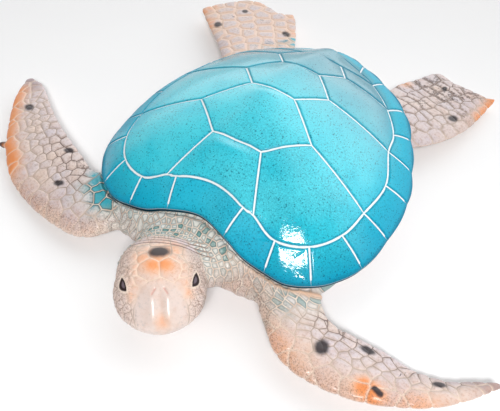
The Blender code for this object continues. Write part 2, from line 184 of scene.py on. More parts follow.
board_paint = Paint("white board")
board_tone = board_paint.noise(60, 3)
board_paint.set(base_color=board_paint.mix(board_tone, (255, 255, 255), (252, 252, 253)), roughness=.8)
bpy.ops.mesh.primitive_plane_add(size=BOARD_SIZE, location=(0, 0, -.0002))
board = bpy.context.object
board.name = "board"
board.data.transform(board.matrix_world)
board.matrix_world = Matrix.Identity(4)
board.data.materials.append(board_paint.material)

# The carapace. It is the upper half of the same casting: five spine scutes with low keels, four costal
# scutes on either side and a rim of marginal ones. The seams between them are grooves filled with white
# paint, and the scutes are turquoise enamel, flecked with dark teal and sealed with a glossy varnish.
RIM = ((0, -77.5, 36), (17, -81.5, 34), (29, -84, 29), (41, -83.5, 24.5), (52, -82.5, 22.5),
       (63.5, -77, 22.5), (72, -68, 22.3), (79.5, -54.5, 22.4), (83, -33, 23), (82.5, -7, 24.5),
       (76.5, 13, 27), (67, 34.5, 28), (54.5, 55, 28), (36, 72, 27), (17, 82.5, 27),
       (0, 88, 27))                 # x, y and height of one side, from the front
RIM_THICKNESS = 3.6
SHELL_TOP = 66.5
SHELL_MIDDLE = -10.0
WIDEN = 168 / 166
INNER_CORNERS = ((0, .80), (19, .79), (24, .785), (33, .845), (45, .85), (58, .845), (71, .835),
                 (89, .85), (106, .82), (119, .855), (134, .83), (152, .81), (162, .80),
                 (180, .80))        # degrees from the front, and share of the rim's radius
RIM_CORNERS = {1: 13.3, 3: 29.3, 4: 43.6, 5: 60.8, 6: 74.7, 7: 92.2, 8: 106.6, 9: 123.7, 10: 140,
               11: 157.5, 12: 170, 13: 180}     # an inner corner, and where its seam meets the rim
SPINE_CORNERS = ((14.2, -42), (33, -24.5), (12.8, -6), (25.3, 9), (11.5, 25.5), (21.3, 39),
                 (13.5, 50.6))      # x and y on the left side
COSTAL_SEAMS = ((1, 6), (3, 8), (5, 10), (6, 11))     # from a spine corner to an inner one
COSTAL_CORNERS = (((2, 3, 4, 5, 6), (1, 0)), ((6, 7, 8), (3, 2, 1)), ((8, 9, 10), (5, 4, 3)),
                  ((10, 11), (6, 5)))     # the inner and the spine corners round each costal scute
SEAM_STEP = 1.5
GROOVE_DEPTH = .65
GROOVE_RINGS = (.25, .5, .8, 1.15, 1.7, 2.5)     # distances from the seam, out of the groove
SCUTE_RINGS = (.07, .15, .24, .34, .45, .57, .70, .84)    # shares of the way on to the middle
SCUTE_CROWN = .6
MARGINAL_CROWN = -.25               # the marginal scutes are flatter than the dome
SCUTE_TILTS = ((13.3, 29.3, .6), (29.3, 43.6, -.45))     # between two seams in degrees, rise to the rear
KEEL_HEIGHT, KEEL_WIDTH = 2.2, 9
KEEL_PEAK = .82                     # share of the way from the scute's front to its rear
SCALLOP = 1.2                       # how far each marginal scute swells out behind
RIM_SINK = .15                      # the rim's edge lies this much under the dome
UNDER_RIM = ((.03, .12), (.07, .3), (.1, .5), (.2, .75), (.4, .93), (.7, 1.0), (1.6, .97),
             (2.6, .9))             # insets and drops of the rings under the rim, in rim thicknesses
LID_HEIGHT = 20.0                   # of the middle of the unseen lid that closes the shell below
FAR = 9.0                           # stands for any distance that is too far to matter
TURQUOISE, LIGHT_TURQUOISE, LOW_BLUE = (38, 204, 226), (82, 221, 237), (2, 150, 186)
SIDE_BLUE, REAR_HAZE, SEAM_SHADOW = (0, 154, 194), (84, 142, 160), (4, 118, 152)
DUST, FLECK, BLOT = (4, 110, 140), (4, 74, 98), (4, 76, 102)
SEAM_WHITE, BRIM_SHADE, UNDER_RIM_SHADE = (250, 252, 252), (0, 92, 122), (10, 62, 80)


def smooth(points, count, closed=False):
    """Carry a cubic curve through the points, as steep at each as the line between the two beside it."""
    points = np.asarray(points, float)
    if closed:
        padded = np.vstack([points[-1:], points, points[:2]])
        spans = len(points)
    else:
        padded = np.vstack([2 * points[0] - points[1], points, 2 * points[-1] - points[-2]])
        spans = len(points) - 1
    along = np.linspace(0, spans, count, endpoint=not closed)
    span = np.minimum(along.astype(int), spans - 1)
    t = (along - span)[:, None]
    a, b, c, d = (padded[span + k] for k in range(4))
    curve = 2 * b + (c - a) * t + (2 * a - 5 * b + 4 * c - d) * t ** 2 + (3 * b - 3 * c + d - a) * t ** 3
    return curve / 2


def both_sides(half):
    """Close a half outline, which starts and ends on the midline, with its mirror image."""
    half = np.array(half, float)
    other = half[-2:0:-1].copy()
    other[:, 0] *= -1
    return np.vstack([half, other])


def add_mesh(name, points, faces):
    """A mesh object of points in millimetres and faces as lists of point numbers."""
    mesh = bpy.data.meshes.new(name)
    mesh.from_pydata((np.asarray(points) * MM).tolist(), [], faces)
    mesh.update()
    piece = bpy.data.objects.new(name, mesh)
    bpy.context.scene.collection.objects.link(piece)
    return piece


def polar(points):
    """Angles from the front and distances in plan, both about the shell's middle."""
    x, ahead = points[:, 0], SHELL_MIDDLE - points[:, 1]
    return np.arctan2(x, ahead), np.hypot(x, ahead)


def unit(vectors):
    """Vectors divided by their lengths."""
    return vectors / np.linalg.norm(vectors, axis=1)[:, None]


def bell(*offsets):
    """1 in the middle, and less by the squares of the offsets, each counted in its own widths."""
    return np.exp(-sum(offset ** 2 for offset in offsets))


rim_curve = smooth(both_sides(RIM) * (WIDEN, 1, 1), 1440, closed=True)
rim_angle, rim_radius = polar(rim_curve)


def rim_at(angle):
    """The rim's radius about the shell's middle, and its height, at angles from the front."""
    return (np.interp(angle, rim_angle, rim_radius, period=2 * np.pi),
            np.interp(angle, rim_angle, rim_curve[:, 2], period=2 * np.pi))


def on_shell(degrees, share=1.0, past=0.0):
    """A place in plan, at an angle from the front, and a share of the rim's radius or so far past it."""
    angle = np.radians(degrees)
    radius = rim_at(angle)[0] * share + past
    return np.stack([radius * np.sin(angle), SHELL_MIDDLE - radius * np.cos(angle)], axis=-1)


def dome(plan):
    """Height over the rim: the rise to the top, times one less the share to the power 1.5, to the .8."""
    angle, distance = polar(plan)
    radius, height = rim_at(angle)
    share = np.minimum(distance / radius, 1)
    return height + (SHELL_TOP - height) * (1 - share ** 1.5) ** .8


def lift(plan, height):
    """Points of the dome, moved out along its normal by a height."""
    step = .5
    slope_x = (dome(plan + (step, 0)) - dome(plan - (step, 0))) / (2 * step)
    slope_y = (dome(plan + (0, step)) - dome(plan - (0, step))) / (2 * step)
    normal = unit(np.stack([-slope_x, -slope_y, np.ones(len(plan))], axis=1))
    return np.column_stack([plan, dome(plan)]) + normal * np.asarray(height)[:, None]


class Seams:
    """The net of seams in plan: corners by name, and the points along each edge between two."""

    def __init__(self):
        self.points, self.corners, self.edges = [], {}, {}

    def corner(self, name, point):
        self.corners[name] = len(self.points)
        self.points.append(np.asarray(point, float))

    def edge(self, start, end, curve=None):
        """Join two corners, along a straight line or a curve given as a function of shares from 0 to 1."""
        a, b = self.points[self.corners[start]], self.points[self.corners[end]]
        count = max(2, round(float(np.linalg.norm(b - a)) / SEAM_STEP))
        share, total = np.arange(1, count) / count, len(self.points)
        chain = [self.corners[start], *range(total, total + count - 1), self.corners[end]]
        self.points.extend(a + (b - a) * share[:, None] if curve is None else curve(share))
        self.edges[start, end] = chain
        self.edges[end, start] = chain[::-1]

    def loop(self, names):
        """The point numbers once round a scute."""
        around = []
        for start, end in zip(names, names[1:] + names[:1]):
            around += self.edges[start, end][:-1]
        return around


def seam_net():
    """Every seam of the carapace, and the corner names round each scute: spine, costal, then marginal."""
    net = Seams()
    inner = both_sides([on_shell(degrees, share) for degrees, share in INNER_CORNERS])
    total = len(inner)
    line = smooth(inner, total * 20, closed=True)
    turns = np.append(np.arange(total * 20) / 20, total)
    line = np.vstack([line, line[:1]])
    for k, point in enumerate(inner):
        net.corner(("inner", k), point)
    for k in range(total):
        net.edge(("inner", k), ("inner", (k + 1) % total), lambda share, k=k: np.column_stack(
            [np.interp(k + share, turns, line[:, 0]), np.interp(k + share, turns, line[:, 1])]))

    rim = dict(RIM_CORNERS)
    rim.update({total - k: 360 - degrees for k, degrees in RIM_CORNERS.items() if degrees < 180})
    order = sorted(rim)
    for k in order:
        net.corner(("rim", k), on_shell(rim[k]))
        net.edge(("inner", k), ("rim", k))
    for k, following in zip(order, order[1:] + order[:1]):
        start, sweep = rim[k], (rim[following] - rim[k]) % 360
        rear = .5 - .5 * np.cos(np.radians(start + sweep / 2))

        def along_rim(share, start=start, sweep=sweep, rear=rear):
            """The rim, pushed out by a half sine between two seams, more so to the rear."""
            points = on_shell(start + sweep * share)
            out = unit(points - (0, SHELL_MIDDLE))
            return points + out * SCALLOP * rear * np.sin(np.pi * share)[:, None]

        net.edge(("rim", k), ("rim", following), along_rim)

    for side, mirror in ((1, lambda k: k), (-1, lambda k: total - k)):
        for k, (x, y) in enumerate(SPINE_CORNERS):
            net.corner(("spine", k, side), (x * WIDEN * side, y))
        net.edge(("inner", mirror(2)), ("spine", 0, side))
        for k in range(len(SPINE_CORNERS) - 1):
            net.edge(("spine", k, side), ("spine", k + 1, side))
        for k, end in COSTAL_SEAMS:
            net.edge(("spine", k, side), ("inner", mirror(end)))
    for k in (0, 2, 4, 6):
        net.edge(("spine", k, 1), ("spine", k, -1))

    def spine(k, side=1):
        return "spine", k, side

    def ring(*numbers):
        return [("inner", k % total) for k in numbers]

    scutes = [ring(2, 1, 0, -1, -2) + [spine(0, -1), spine(0)]]
    for k in (0, 2, 4):
        scutes.append([spine(k + step) for step in (0, 1, 2)] + [spine(k + step, -1) for step in (2, 1, 0)])
    scutes.append([spine(6)] + ring(11, 12, 13, 14, 15) + [spine(6, -1)])
    spines = len(scutes)
    for side in (1, -1):
        for outer, upper in COSTAL_CORNERS:
            scutes.append(ring(*(side * k for k in outer)) + [spine(k, side) for k in upper])
    inside = len(scutes)
    for k, following in zip(order, order[1:] + order[:1]):
        between = list(range(k, following + 1)) if following > k else list(range(k, total + following + 1))
        scutes.append(ring(*between) + [("rim", following), ("rim", k)])
    return net, scutes, spines, inside, net.loop([("rim", k) for k in order])


def keel(plan, border):
    """A spine scute's keel: a bell across the midline, times a ramp that peaks before the rear edge."""
    x, y = plan.T
    front, rear = border[:, 1].min(), border[:, 1].max()
    peak = front + KEEL_PEAK * (rear - front)
    run = np.where(y < peak, (peak - y) / (peak - front), (y - peak) / (rear - peak))
    return KEEL_HEIGHT * bell(x / KEEL_WIDTH) * np.clip(1 - run, 0, 1) ** 1.2


def soft_step(value, low, high):
    """0 below `low`, 1 above `high`, and smooth between them."""
    t = np.clip((value - low) / (high - low), 0, 1)
    return t * t * (3 - 2 * t)


def fade(value, low, high):
    """The step turned round: 1 below `low` and 0 above `high`."""
    return soft_step(-value, -high, -low)


def from_front(plan):
    """Degrees round the shell from the front, on either side."""
    return np.degrees(np.abs(polar(plan)[0]))


def carapace():
    """Each scute is a fan of rings from its seams to its middle, and the rim curls under to a lid."""
    net, scutes, spines, inside, rim_loop = seam_net()
    seam_points = np.array(net.points)
    depth = np.full(len(seam_points), -GROOVE_DEPTH)
    on_rim = np.array(rim_loop)
    depth[on_rim] = -RIM_SINK
    plan, height, seam, faces = [seam_points], [depth], [np.zeros(len(seam_points))], []
    total = len(seam_points)
    for number, names in enumerate(scutes):
        loop = np.array(net.loop(names))
        border = seam_points[loop]
        following = np.roll(border, -1, axis=0)
        if (border[:, 0] * following[:, 1] - following[:, 0] * border[:, 1]).sum() < 0:
            loop, border = loop[::-1], border[::-1]
        tangent = np.roll(border, -1, axis=0) - np.roll(border, 1, axis=0)
        inward = unit(np.stack([-tangent[:, 1], tangent[:, 0]], axis=1))
        middle = border.mean(axis=0)
        reach = np.maximum(((middle - border) * inward).sum(axis=1), 2 * GROOVE_RINGS[-1])
        free = np.isin(loop, on_rim)
        crown = SCUTE_CROWN * min(1, reach.mean() / 16) if number < inside else MARGINAL_CROWN
        out_of_groove = GROOVE_RINGS[-1] / reach
        shares = [distance / reach for distance in GROOVE_RINGS]
        shares += [out_of_groove + (1 - out_of_groove) * share for share in SCUTE_RINGS] + [np.ones(1)]
        previous = loop
        for share in shares:
            last = len(share) == 1
            ring = middle[None] if last else border + (middle - border) * share[:, None]
            distance = share * (reach.mean() if last else reach)
            groove = GROOVE_DEPTH * (1 - soft_step(distance, .25, 1.15))
            sink = groove if last else np.where(free, RIM_SINK * (distance < .5), groove)
            rise = crown * (1 - (1 - share) ** 2) - sink
            if number < spines:
                rise = rise + keel(ring, border) * soft_step(distance, .8, 3.0)
            for start, stop, tilt in SCUTE_TILTS:
                share_round = (from_front(ring) - start) / (stop - start)
                if number >= inside and start < from_front(middle[None])[0] < stop:
                    rise = rise + tilt * (2 * share_round - 1) * soft_step(distance, .5, 5)
            plan.append(ring)
            height.append(rise)
            seam.append(distance if last else np.where(free, FAR, distance))
            current = np.arange(total, total + len(ring))
            total += len(ring)
            if last:
                fan = np.stack([previous, np.roll(previous, -1), np.full(len(previous), current[0])], axis=1)
            else:
                fan = np.stack([previous, np.roll(previous, -1), np.roll(current, -1), current], axis=1)
            faces += fan.tolist()
            previous = current
    top = lift(np.vstack(plan), np.concatenate(height))
    seam = np.concatenate(seam)

    edge = top[on_rim]
    out = unit(edge[:, :2] - (0, SHELL_MIDDLE))
    stack = [top]
    distances = [seam]
    previous = on_rim
    for inset, drop in UNDER_RIM:
        ring = edge.copy()
        ring[:, :2] -= out * inset * RIM_THICKNESS
        ring[:, 2] -= drop * RIM_THICKNESS
        stack.append(ring)
        distances.append(seam[on_rim] + drop * RIM_THICKNESS)
        current = np.arange(total, total + len(ring))
        total += len(ring)
        faces += np.stack([previous, current, np.roll(current, -1), np.roll(previous, -1)], axis=1).tolist()
        previous = current
    stack.append(np.array([[0, SHELL_MIDDLE, LID_HEIGHT]]))
    distances.append(np.array([FAR]))
    faces += np.stack([np.full(len(previous), total), np.roll(previous, -1), previous], axis=1).tolist()
    under_rim = np.clip((np.arange(total + 1) - len(top)) / len(on_rim) / 3, 0, 1)
    return np.vstack(stack), faces, np.concatenate(distances), under_rim


def attribute(mesh, name, values, domain="POINT"):
    """Keep one number, or three, for each point, face or face corner of the mesh."""
    values = np.asarray(values, np.float32)
    kind, field = ("FLOAT", "value") if values.ndim == 1 else ("FLOAT_VECTOR", "vector")
    mesh.attributes.new(name, kind, domain).data.foreach_set(field, values.ravel())


shell_points, shell_faces, seam_distance, under_rim = carapace()
shell = add_mesh("turtle_carapace", shell_points, shell_faces)
x, y, z = shell_points.T
angle, distance = polar(shell_points)
rim_share = distance / rim_at(angle)[0]
round_front = from_front(shell_points[:, :2])
sides = soft_step(rim_share, .7, .9) * soft_step(round_front, 52, 70)
before_seam = 29.3 + 24 * (1 - rim_share) - round_front     # degrees to the slanting third seam
throat_scutes = 1.17 * soft_step(rim_share, .78, .82) * soft_step(before_seam, -.3, .2)
for name, values in {
        "seam": seam_distance,
        "height": (z - LID_HEIGHT) / (SHELL_TOP - LID_HEIGHT),
        "flecked": .35 * bell((x - 35) / 50, (y + 55) / 45),
        "under": under_rim,
        "rear": soft_step(y, -25, 50) * fade(rim_share, .78, .92),
        "side": np.maximum(np.maximum(sides, throat_scutes), soft_step(rim_share, .965, .985)),
        "brim": soft_step(rim_share, .982, 1)}.items():
    attribute(shell.data, name, values)
shell.data.shade_smooth()

enamel = Paint("turquoise enamel")
seam, depth, side, under = (enamel.read(name) for name in ("seam", "height", "side", "under"))
wobble = enamel.noise(2.5) - .5
cloud = enamel.noise(26, 4)
# Mottled turquoise, paler higher up: partly its own tone, partly a painted sheen of the room in the varnish.
enamel.tone = enamel.mix(enamel.step(cloud + depth * .35 - .15, .3, .72), TURQUOISE, LIGHT_TURQUOISE)
enamel.over(enamel.step(depth, .45, .05) * .7, LOW_BLUE)
enamel.over(side * .4, SIDE_BLUE)
# Greyer towards the rear: a painted haze, the bright room's reflection in the varnish.
enamel.over(enamel.read("rear") * .85, REAR_HAZE)
# A faint band of painted shadow in dark teal on either side of each white seam.
enamel.over(enamel.fade(seam + wobble * .4, .7, 1.5) * .5, SEAM_SHADOW)
many = enamel.noise(15, 3) * .5 + enamel.read("flecked")
enamel.over(enamel.step(enamel.noise(.8, 4, .8) + many * .3, .6, .74) * .35, DUST)
fleck, number = enamel.dots(1.15)
enamel.over(enamel.fade(fleck, .12, .38) * enamel.step(number + many, .5, .75) * .8, FLECK)
blot, number = enamel.dots(2.6)
enamel.over(enamel.fade(blot, .25, .6) * enamel.step(number + many * .7, .85, .95) * .7, BLOT)
enamel.over(enamel.fade(seam + wobble * .3, .3, .58), SEAM_WHITE)
# A thin band of painted shade in dark blue along the rim's edge.
enamel.over(enamel.read("brim") * .5, BRIM_SHADE)
# Painted shade: the underside of the rim in dark blue.
enamel.over(enamel.step(under, .05, .6), UNDER_RIM_SHADE)
# The varnish shines on the scutes, with a fine orange peel that breaks up its highlights. In the seams, on
# the sides and under the rim it is rubbed matt.
gloss = enamel.step(seam, .7, 1.9) * (1 - side * .85) * enamel.fade(under, .0, .6)
peel = enamel.node("Bump", {}, {"Strength": 1.0, "Distance": .00009, "Height": enamel.noise(1.1, 2, .6)})
enamel.set(base_color=enamel.tone, roughness=.04, specular_ior_level=1.0, normal=peel)
matt = enamel.node("BsdfPrincipled", {}, {
    "Base Color": enamel.tone, "Roughness": .5, "Specular IOR Level": .12, "Normal": peel})
varnished = enamel.node("MixShader", {}, {0: gloss, 1: matt, 2: Value(enamel, enamel.shader.outputs[0])})
enamel.feed(enamel.tree.nodes["Material Output"].inputs["Surface"], varnished)
shell.data.materials.append(enamel.material)
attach(shell, "root")

# The body under the shell. Head, neck, flippers, tail and belly are one resin casting with the shell:
# each limb is worked out as its own skin, they are run together, and the meeting lines are rubbed soft.
VOXEL = .75
BODY_TRIANGLES = 190000
BELLY = (96.0, 112.0)
TRUNK = ((0, -92), (20, -95), (38, -94), (53, -89), (66, -75), (73, -52), (77, -30), (76, -5),
         (70, 14), (60, 34), (46, 54), (30, 70), (14, 80), (0, 83))     # x and y of one side
FLANK = ((.45, 44), (.75, 36), (.90, 27), (.98, 18), (1.0, 13), (.95, 7), (.84, 2.5))  # share, height
FRONT_THICKNESS = 13.0
REAR_THICKNESS = 9.0
# Stations of the flippers: a place on the leading edge, one on the trailing edge, share of the thickness.
LEFT_FRONT = (((26, -74, 17), (44, -50, 17), 1.0), ((44, -94.5, 14), (62, -64, 17), 1.0),
              ((54, -103.5, 13), (71, -78, 14), .92), ((66, -112.5, 12), (80, -84, 12), .80),
              ((82, -116, 12), (92, -83, 9), .70), ((106, -114, 13), (108, -82, 7), .58),
              ((122, -108, 14), (122, -83, 6), .46), ((138, -97, 13), (137, -80, 6), .36),
              ((150, -84, 11), (148, -73.5, 6), .28), ((159, -71, 8), (156, -70, 7), .20))
RIGHT_FRONT = (((-26, -70, 17), (-44, -50, 17), 1.0), ((-45, -96, 13), (-65, -66, 17), 1.0),
               ((-60, -106, 9), (-79, -69, 16), .90), ((-80, -106, 7), (-95, -62, 14), .78),
               ((-104, -101, 5), (-110, -55, 13), .66), ((-126, -92, 5), (-126, -47, 12), .56),
               ((-145.5, -76, 5), (-141, -38, 11), .46), ((-162.5, -56, 5), (-154, -29, 9), .38),
               ((-175, -38, 5), (-166, -21, 7), .30), ((-181, -22, 5), (-178, -18, 6), .20))
LEFT_REAR = (((50, 30, 17), (24, 60, 17), 1.0), ((67, 45, 14), (33, 82, 14), 1.0),
             ((80, 63, 11), (36, 98, 11), .85), ((88, 83, 8), (42, 110, 9), .68),
             ((91.5, 101, 6), (52, 128, 7), .55), ((93, 113, 5), (62, 125.5, 6), .42),
             ((94, 119, 5), (76, 125, 5), .32), ((94.5, 123.5, 6), (88, 121.8, 5), .22))
RIGHT_REAR = (((-50, 30, 17), (-24, 60, 17), 1.0), ((-70, 52, 15), (-34, 82, 14), 1.0),
              ((-86, 69, 13), (-42, 100, 12), .85), ((-104, 85, 12), (-48, 112, 11), .68),
              ((-116, 96, 11), (-54, 123, 11), .58), ((-122.5, 103, 11), (-61, 131.5, 11), .48),
              ((-119, 110, 11), (-69.5, 127.5, 11), .42), ((-110, 121, 11), (-80, 131, 11), .35),
              ((-101, 129, 11), (-90, 133, 11), .28))
NECK = ((0, -52, 20, 36, 11, 15), (-1, -70, 20, 34, 12, 15), (-2, -82, 19, 30, 13, 14),
        (-2, -92, 19, 27, 13.5, 14), (-3, -100, 21, 21, 13.5, 15), (-2, -107, 22, 18, 13, 14),
        (0, -112, 22, 14, 9, 10))     # x, y, height, half width, rise and drop
TAIL = ((0, 66, 16, 15, 6, 8), (0, 78, 13, 10, 5, 6), (0, 86, 11, 6, 3.5, 4), (0, 92, 10, 2.5, 2, 2))
HEAD_PLACE = np.array([4.0, -116.5, 24.0])
HEAD_TURN = np.radians(36)
HEAD_AHEAD = np.array([np.sin(HEAD_TURN), -np.cos(HEAD_TURN), 0])
HEAD_LEFT = np.array([np.cos(HEAD_TURN), np.sin(HEAD_TURN), 0])
HEAD_WIDTH = 45.0
HEAD_LENGTH = 54.0
HEAD = ((-.50, .25, .16, .22), (-.40, .39, .25, .32), (-.27, .465, .31, .38), (-.12, .475, .33, .41),
        (.02, .495, .31, .42), (.13, .475, .26, .41), (.23, .425, .19, .34), (.31, .345, .12, .27),
        (.37, .25, .06, .19), (.405, .13, .01, .11))     # ahead in lengths, the rest in widths
CLAWS = (((107, -105, 15.5), (117, -107, 15.5)), ((-143, -73.5, 6), (-152, -74.5, 4.6)))  # root, aim
JOINS = ((44, -80, 16), (-46, -80, 16), (40, -66, 20), (-42, -66, 20), (-28, -88, 18), (26, -88, 18),
         (52, 44, 16), (30, 66, 16), (-52, 44, 16), (-30, 66, 16), (0, 80, 13), (18, -100, 18),
         (-22, -102, 18), (112, -106, 14))     # places where limbs meet
JOIN_REACH = 13                     # how far the rubbing of the meeting lines reaches
FINE_RADIUS, FINE_BOTTOM = 31, 8    # where the mesh is twice as fine: round the skull, and how far down
CLAW_LENGTH = 10.0
CLAW_RADIUS = 2.4


def once_round(count):
    """Even angles once round a circle."""
    return np.arange(count) * 2 * np.pi / count


def skin(name, rings):
    """Quads between rings of points, each ring a row of the grid, with a fan at either end."""
    count = rings.shape[1]
    points = np.vstack([rings.reshape(-1, 3), rings[0].mean(axis=0), rings[-1].mean(axis=0)])
    here = np.arange(count)
    after = np.roll(here, -1)
    row = np.arange(len(rings) - 1)[:, None] * count
    quads = np.stack([row + here, row + after, row + count + after, row + count + here], axis=-1)
    end = (len(rings) - 1) * count
    first = np.stack([np.full(count, len(points) - 2), after, here], axis=1)
    last = np.stack([np.full(count, len(points) - 1), end + here, end + after], axis=1)
    return add_mesh(name, points, quads.reshape(-1, 4).tolist() + first.tolist() + last.tolist())


class Flipper:
    """A limb between its leading and its trailing edge, blunt in front, thin behind, flatter below."""

    def __init__(self, stations, thickness):
        table = smooth([lead + trail + (share,) for lead, trail, share in stations], 200)
        self.lead, self.trail = table[:, :3], table[:, 3:6]
        self.thickness = table[:, 6] * thickness
        middle = (self.lead + self.trail) / 2
        self.run = np.append(0, np.cumsum(np.linalg.norm(np.diff(middle, axis=0), axis=1)))
        normal = unit(np.cross(np.gradient(middle, axis=0), self.lead - self.trail))
        self.normal = normal * np.sign(normal[:, 2])[:, None]

    def rings(self, count=56):
        """Each section: its middle, plus the chord times the cosine, plus the thickness times the sine."""
        turn = once_round(count)
        swell = np.sin(turn) * (1 + .35 * np.cos(turn)) * np.where(np.sin(turn) < 0, .75, 1)
        return ((self.lead + self.trail)[:, None] / 2
                + ((self.lead - self.trail) / 2)[:, None] * np.cos(turn)[None, :, None]
                + self.normal[:, None] * (self.thickness / 2)[:, None, None] * swell[None, :, None])

    def on_top(self, run, across):
        """Points of the upper side: millimetres along the limb, and shares from front to rear edge."""
        def read(values):
            return np.stack([np.interp(run, self.run, values[:, k]) for k in range(3)], axis=-1)
        cosine = 1 - 2 * np.asarray(across)
        swell = np.sqrt(np.maximum(1 - cosine ** 2, 0)) * (1 + .35 * cosine)
        lead, trail = read(self.lead), read(self.trail)
        lift = np.interp(run, self.run, self.thickness) / 2 * swell
        return lead + (trail - lead) * np.asarray(across)[:, None] + read(self.normal) * lift[:, None]

    def chord(self, run):
        """Distance from the leading to the trailing edge at millimetres along the limb."""
        return np.interp(run, self.run, np.linalg.norm(self.lead - self.trail, axis=1))


def tube(stations, spans, count):
    """Rings round a path: the half width times the cosine, and the rise or the drop times the sine."""
    table = smooth(stations, spans)
    way = unit(np.gradient(table[:, :2], axis=0))
    side = np.stack([-way[:, 1], way[:, 0], np.zeros(spans)], axis=1)
    turn = once_round(count)
    tall = np.where(np.sin(turn)[None] > 0, table[:, 4:5], table[:, 5:6]) * np.sin(turn)
    return (table[:, None, :3] + side[:, None] * (table[:, 3:4] * np.cos(turn))[..., None]
            + np.array([0, 0, 1.0]) * tall[..., None])


def trunk():
    """An outline carried down the flank to the flat belly, bottom ring first."""
    outline = smooth(both_sides(TRUNK) * (WIDEN, 1), 200, closed=True)
    middle = np.array([0, SHELL_MIDDLE])
    angle = polar(outline)[0]
    belly = np.column_stack([BELLY[0] / 2 * np.sin(angle), -BELLY[1] / 2 * np.cos(angle), 0 * angle])
    rings = [np.column_stack([middle + (outline - middle) * share, np.full(len(outline), height)])
             for share, height in FLANK]
    stack = np.array(rings + [belly])[::-1]
    return smooth(stack.reshape(len(stack), -1), 60).reshape(60, -1, 3)


def head(spans=90, count=90):
    """Rings along the skull's axis, as the neck's, but narrower at the jaw by the square of the sine."""
    table = smooth(HEAD, spans)
    around = once_round(count)
    up = np.sin(around)
    jaw = 1 - .22 * np.clip(-up, 0, 1) ** 2
    tall = np.where(up[None] > 0, table[:, 2:3], table[:, 3:4]) * up
    return (HEAD_PLACE + HEAD_AHEAD * (table[:, 0] * HEAD_LENGTH)[:, None, None]
            + HEAD_LEFT * (table[:, 1:2] * np.cos(around) * jaw * HEAD_WIDTH)[..., None]
            + np.array([0, 0, 1.0]) * (tall * HEAD_WIDTH)[..., None])


def claw_line(ends):
    """A claw's root inside a flipper's edge, and the way in which it points."""
    root, aim = (np.array(end, float) for end in ends)
    return root, (aim - root) / np.linalg.norm(aim - root)


def claw(ends, count=20):
    """Rings round a claw's line, as wide as the root of one less the squared share of its length."""
    root, ahead = claw_line(ends)
    side = np.cross(ahead, (0, 0, 1.0))
    side /= np.linalg.norm(side)
    around = once_round(count)
    rim = np.outer(np.cos(around), side) + np.outer(np.sin(around), np.cross(side, ahead))
    along = np.linspace(0, 1, 12)
    width = CLAW_RADIUS * np.sqrt(1 - (.97 * along) ** 2)
    return root + ahead * (CLAW_LENGTH * along)[:, None, None] + width[:, None, None] * rim


left_front = Flipper(LEFT_FRONT, FRONT_THICKNESS)
right_front = Flipper(RIGHT_FRONT, FRONT_THICKNESS)
left_rear = Flipper(LEFT_REAR, REAR_THICKNESS)
right_rear = Flipper(RIGHT_REAR, REAR_THICKNESS)
limbs = [skin("trunk", trunk()), skin("neck", tube(NECK, 80, 90)), skin("head", head()),
         skin("tail", tube(TAIL, 30, 40))]
limbs += [skin("flipper", flipper.rings()) for flipper in (left_front, right_front, left_rear, right_rear)]
limbs += [skin("claw", claw(ends)) for ends in CLAWS]


def remake(piece, kind, **settings):
    """Give the piece a modifier with its settings, and keep the mesh that it makes."""
    modifier = piece.modifiers.new(kind.lower(), kind)
    for name, setting in settings.items():
        setattr(modifier, name, setting)
    evaluated = piece.evaluated_get(bpy.context.evaluated_depsgraph_get())
    mesh = bpy.data.meshes.new_from_object(evaluated)
    piece.modifiers.clear()
    piece.data = mesh


def read(elements, field, width, kind=np.float32):
    """One field of all of a mesh's points, edges, faces or corners, as rows of `width` numbers."""
    values = np.empty(len(elements) * width, kind)
    elements.foreach_get(field, values)
    return values.reshape(-1, width)


def read_points(mesh):
    """The mesh's points in millimetres."""
    return read(mesh.vertices, "co", 3).astype(float) / MM


def read_normals(mesh):
    """The direction out of the skin at each of the mesh's points."""
    return read(mesh.vertex_normals, "vector", 3).astype(float)


def write_points(mesh, points):
    """Put points in millimetres back into the mesh."""
    mesh.vertices.foreach_set("co", (points * MM).astype(np.float32).ravel())
    mesh.update()


def rub(mesh, points, share, rounds):
    """Move each point a share of the way to the middle of its neighbours, round after round."""
    edges = read(mesh.edges, "vertices", 2, np.int32)
    count = np.bincount(edges.ravel(), minlength=len(points))
    for _ in range(rounds):
        total = np.stack([np.bincount(edges[:, 0], points[edges[:, 1], k], len(points))
                          + np.bincount(edges[:, 1], points[edges[:, 0], k], len(points))
                          for k in range(3)], axis=1)
        points = points + (total / count[:, None] - points) * share[:, None]
    return points


def near(points, path, reach):
    """1 on a path of points and fading smoothly away from it, over about `reach` millimetres."""
    path = np.atleast_2d(np.asarray(path, float))
    gap = np.full(len(points), 1e9)
    for spot in path:
        gap = np.minimum(gap, ((points - spot) ** 2).sum(axis=1))
    return np.exp(-gap / reach ** 2)


for piece in bpy.context.selected_objects:
    piece.select_set(False)
for piece in limbs:
    piece.select_set(True)
bpy.context.view_layer.objects.active = limbs[0]
bpy.ops.object.join()
body = limbs[0]
body.name = "turtle_body"
remake(body, "REMESH", mode="VOXEL", voxel_size=VOXEL * MM, adaptivity=0.0)
points = read_points(body.data)
write_points(body.data, rub(body.data, points, .55 * near(points, JOINS, JOIN_REACH), 60))
middle = read(body.data.polygons, "center", 3) / MM
on_skull = (np.linalg.norm(middle - HEAD_PLACE, axis=1) < FINE_RADIUS) & (middle[:, 2] > FINE_BOTTOM)
body.data.polygons.foreach_set("select", on_skull)
bpy.context.tool_settings.mesh_select_mode = (False, False, True)
bpy.ops.object.mode_set(mode="EDIT")
bpy.ops.mesh.subdivide(number_cuts=1)
bpy.ops.object.mode_set(mode="OBJECT")
points = read_points(body.data)
points = rub(body.data, points, np.full(len(points), .5), 5)


def past_rim(points):
    """How far a point lies outside the shell's rim in plan, and the rim's height over it."""
    angle, distance = polar(points)
    radius, height = rim_at(angle)
    return distance - radius, height


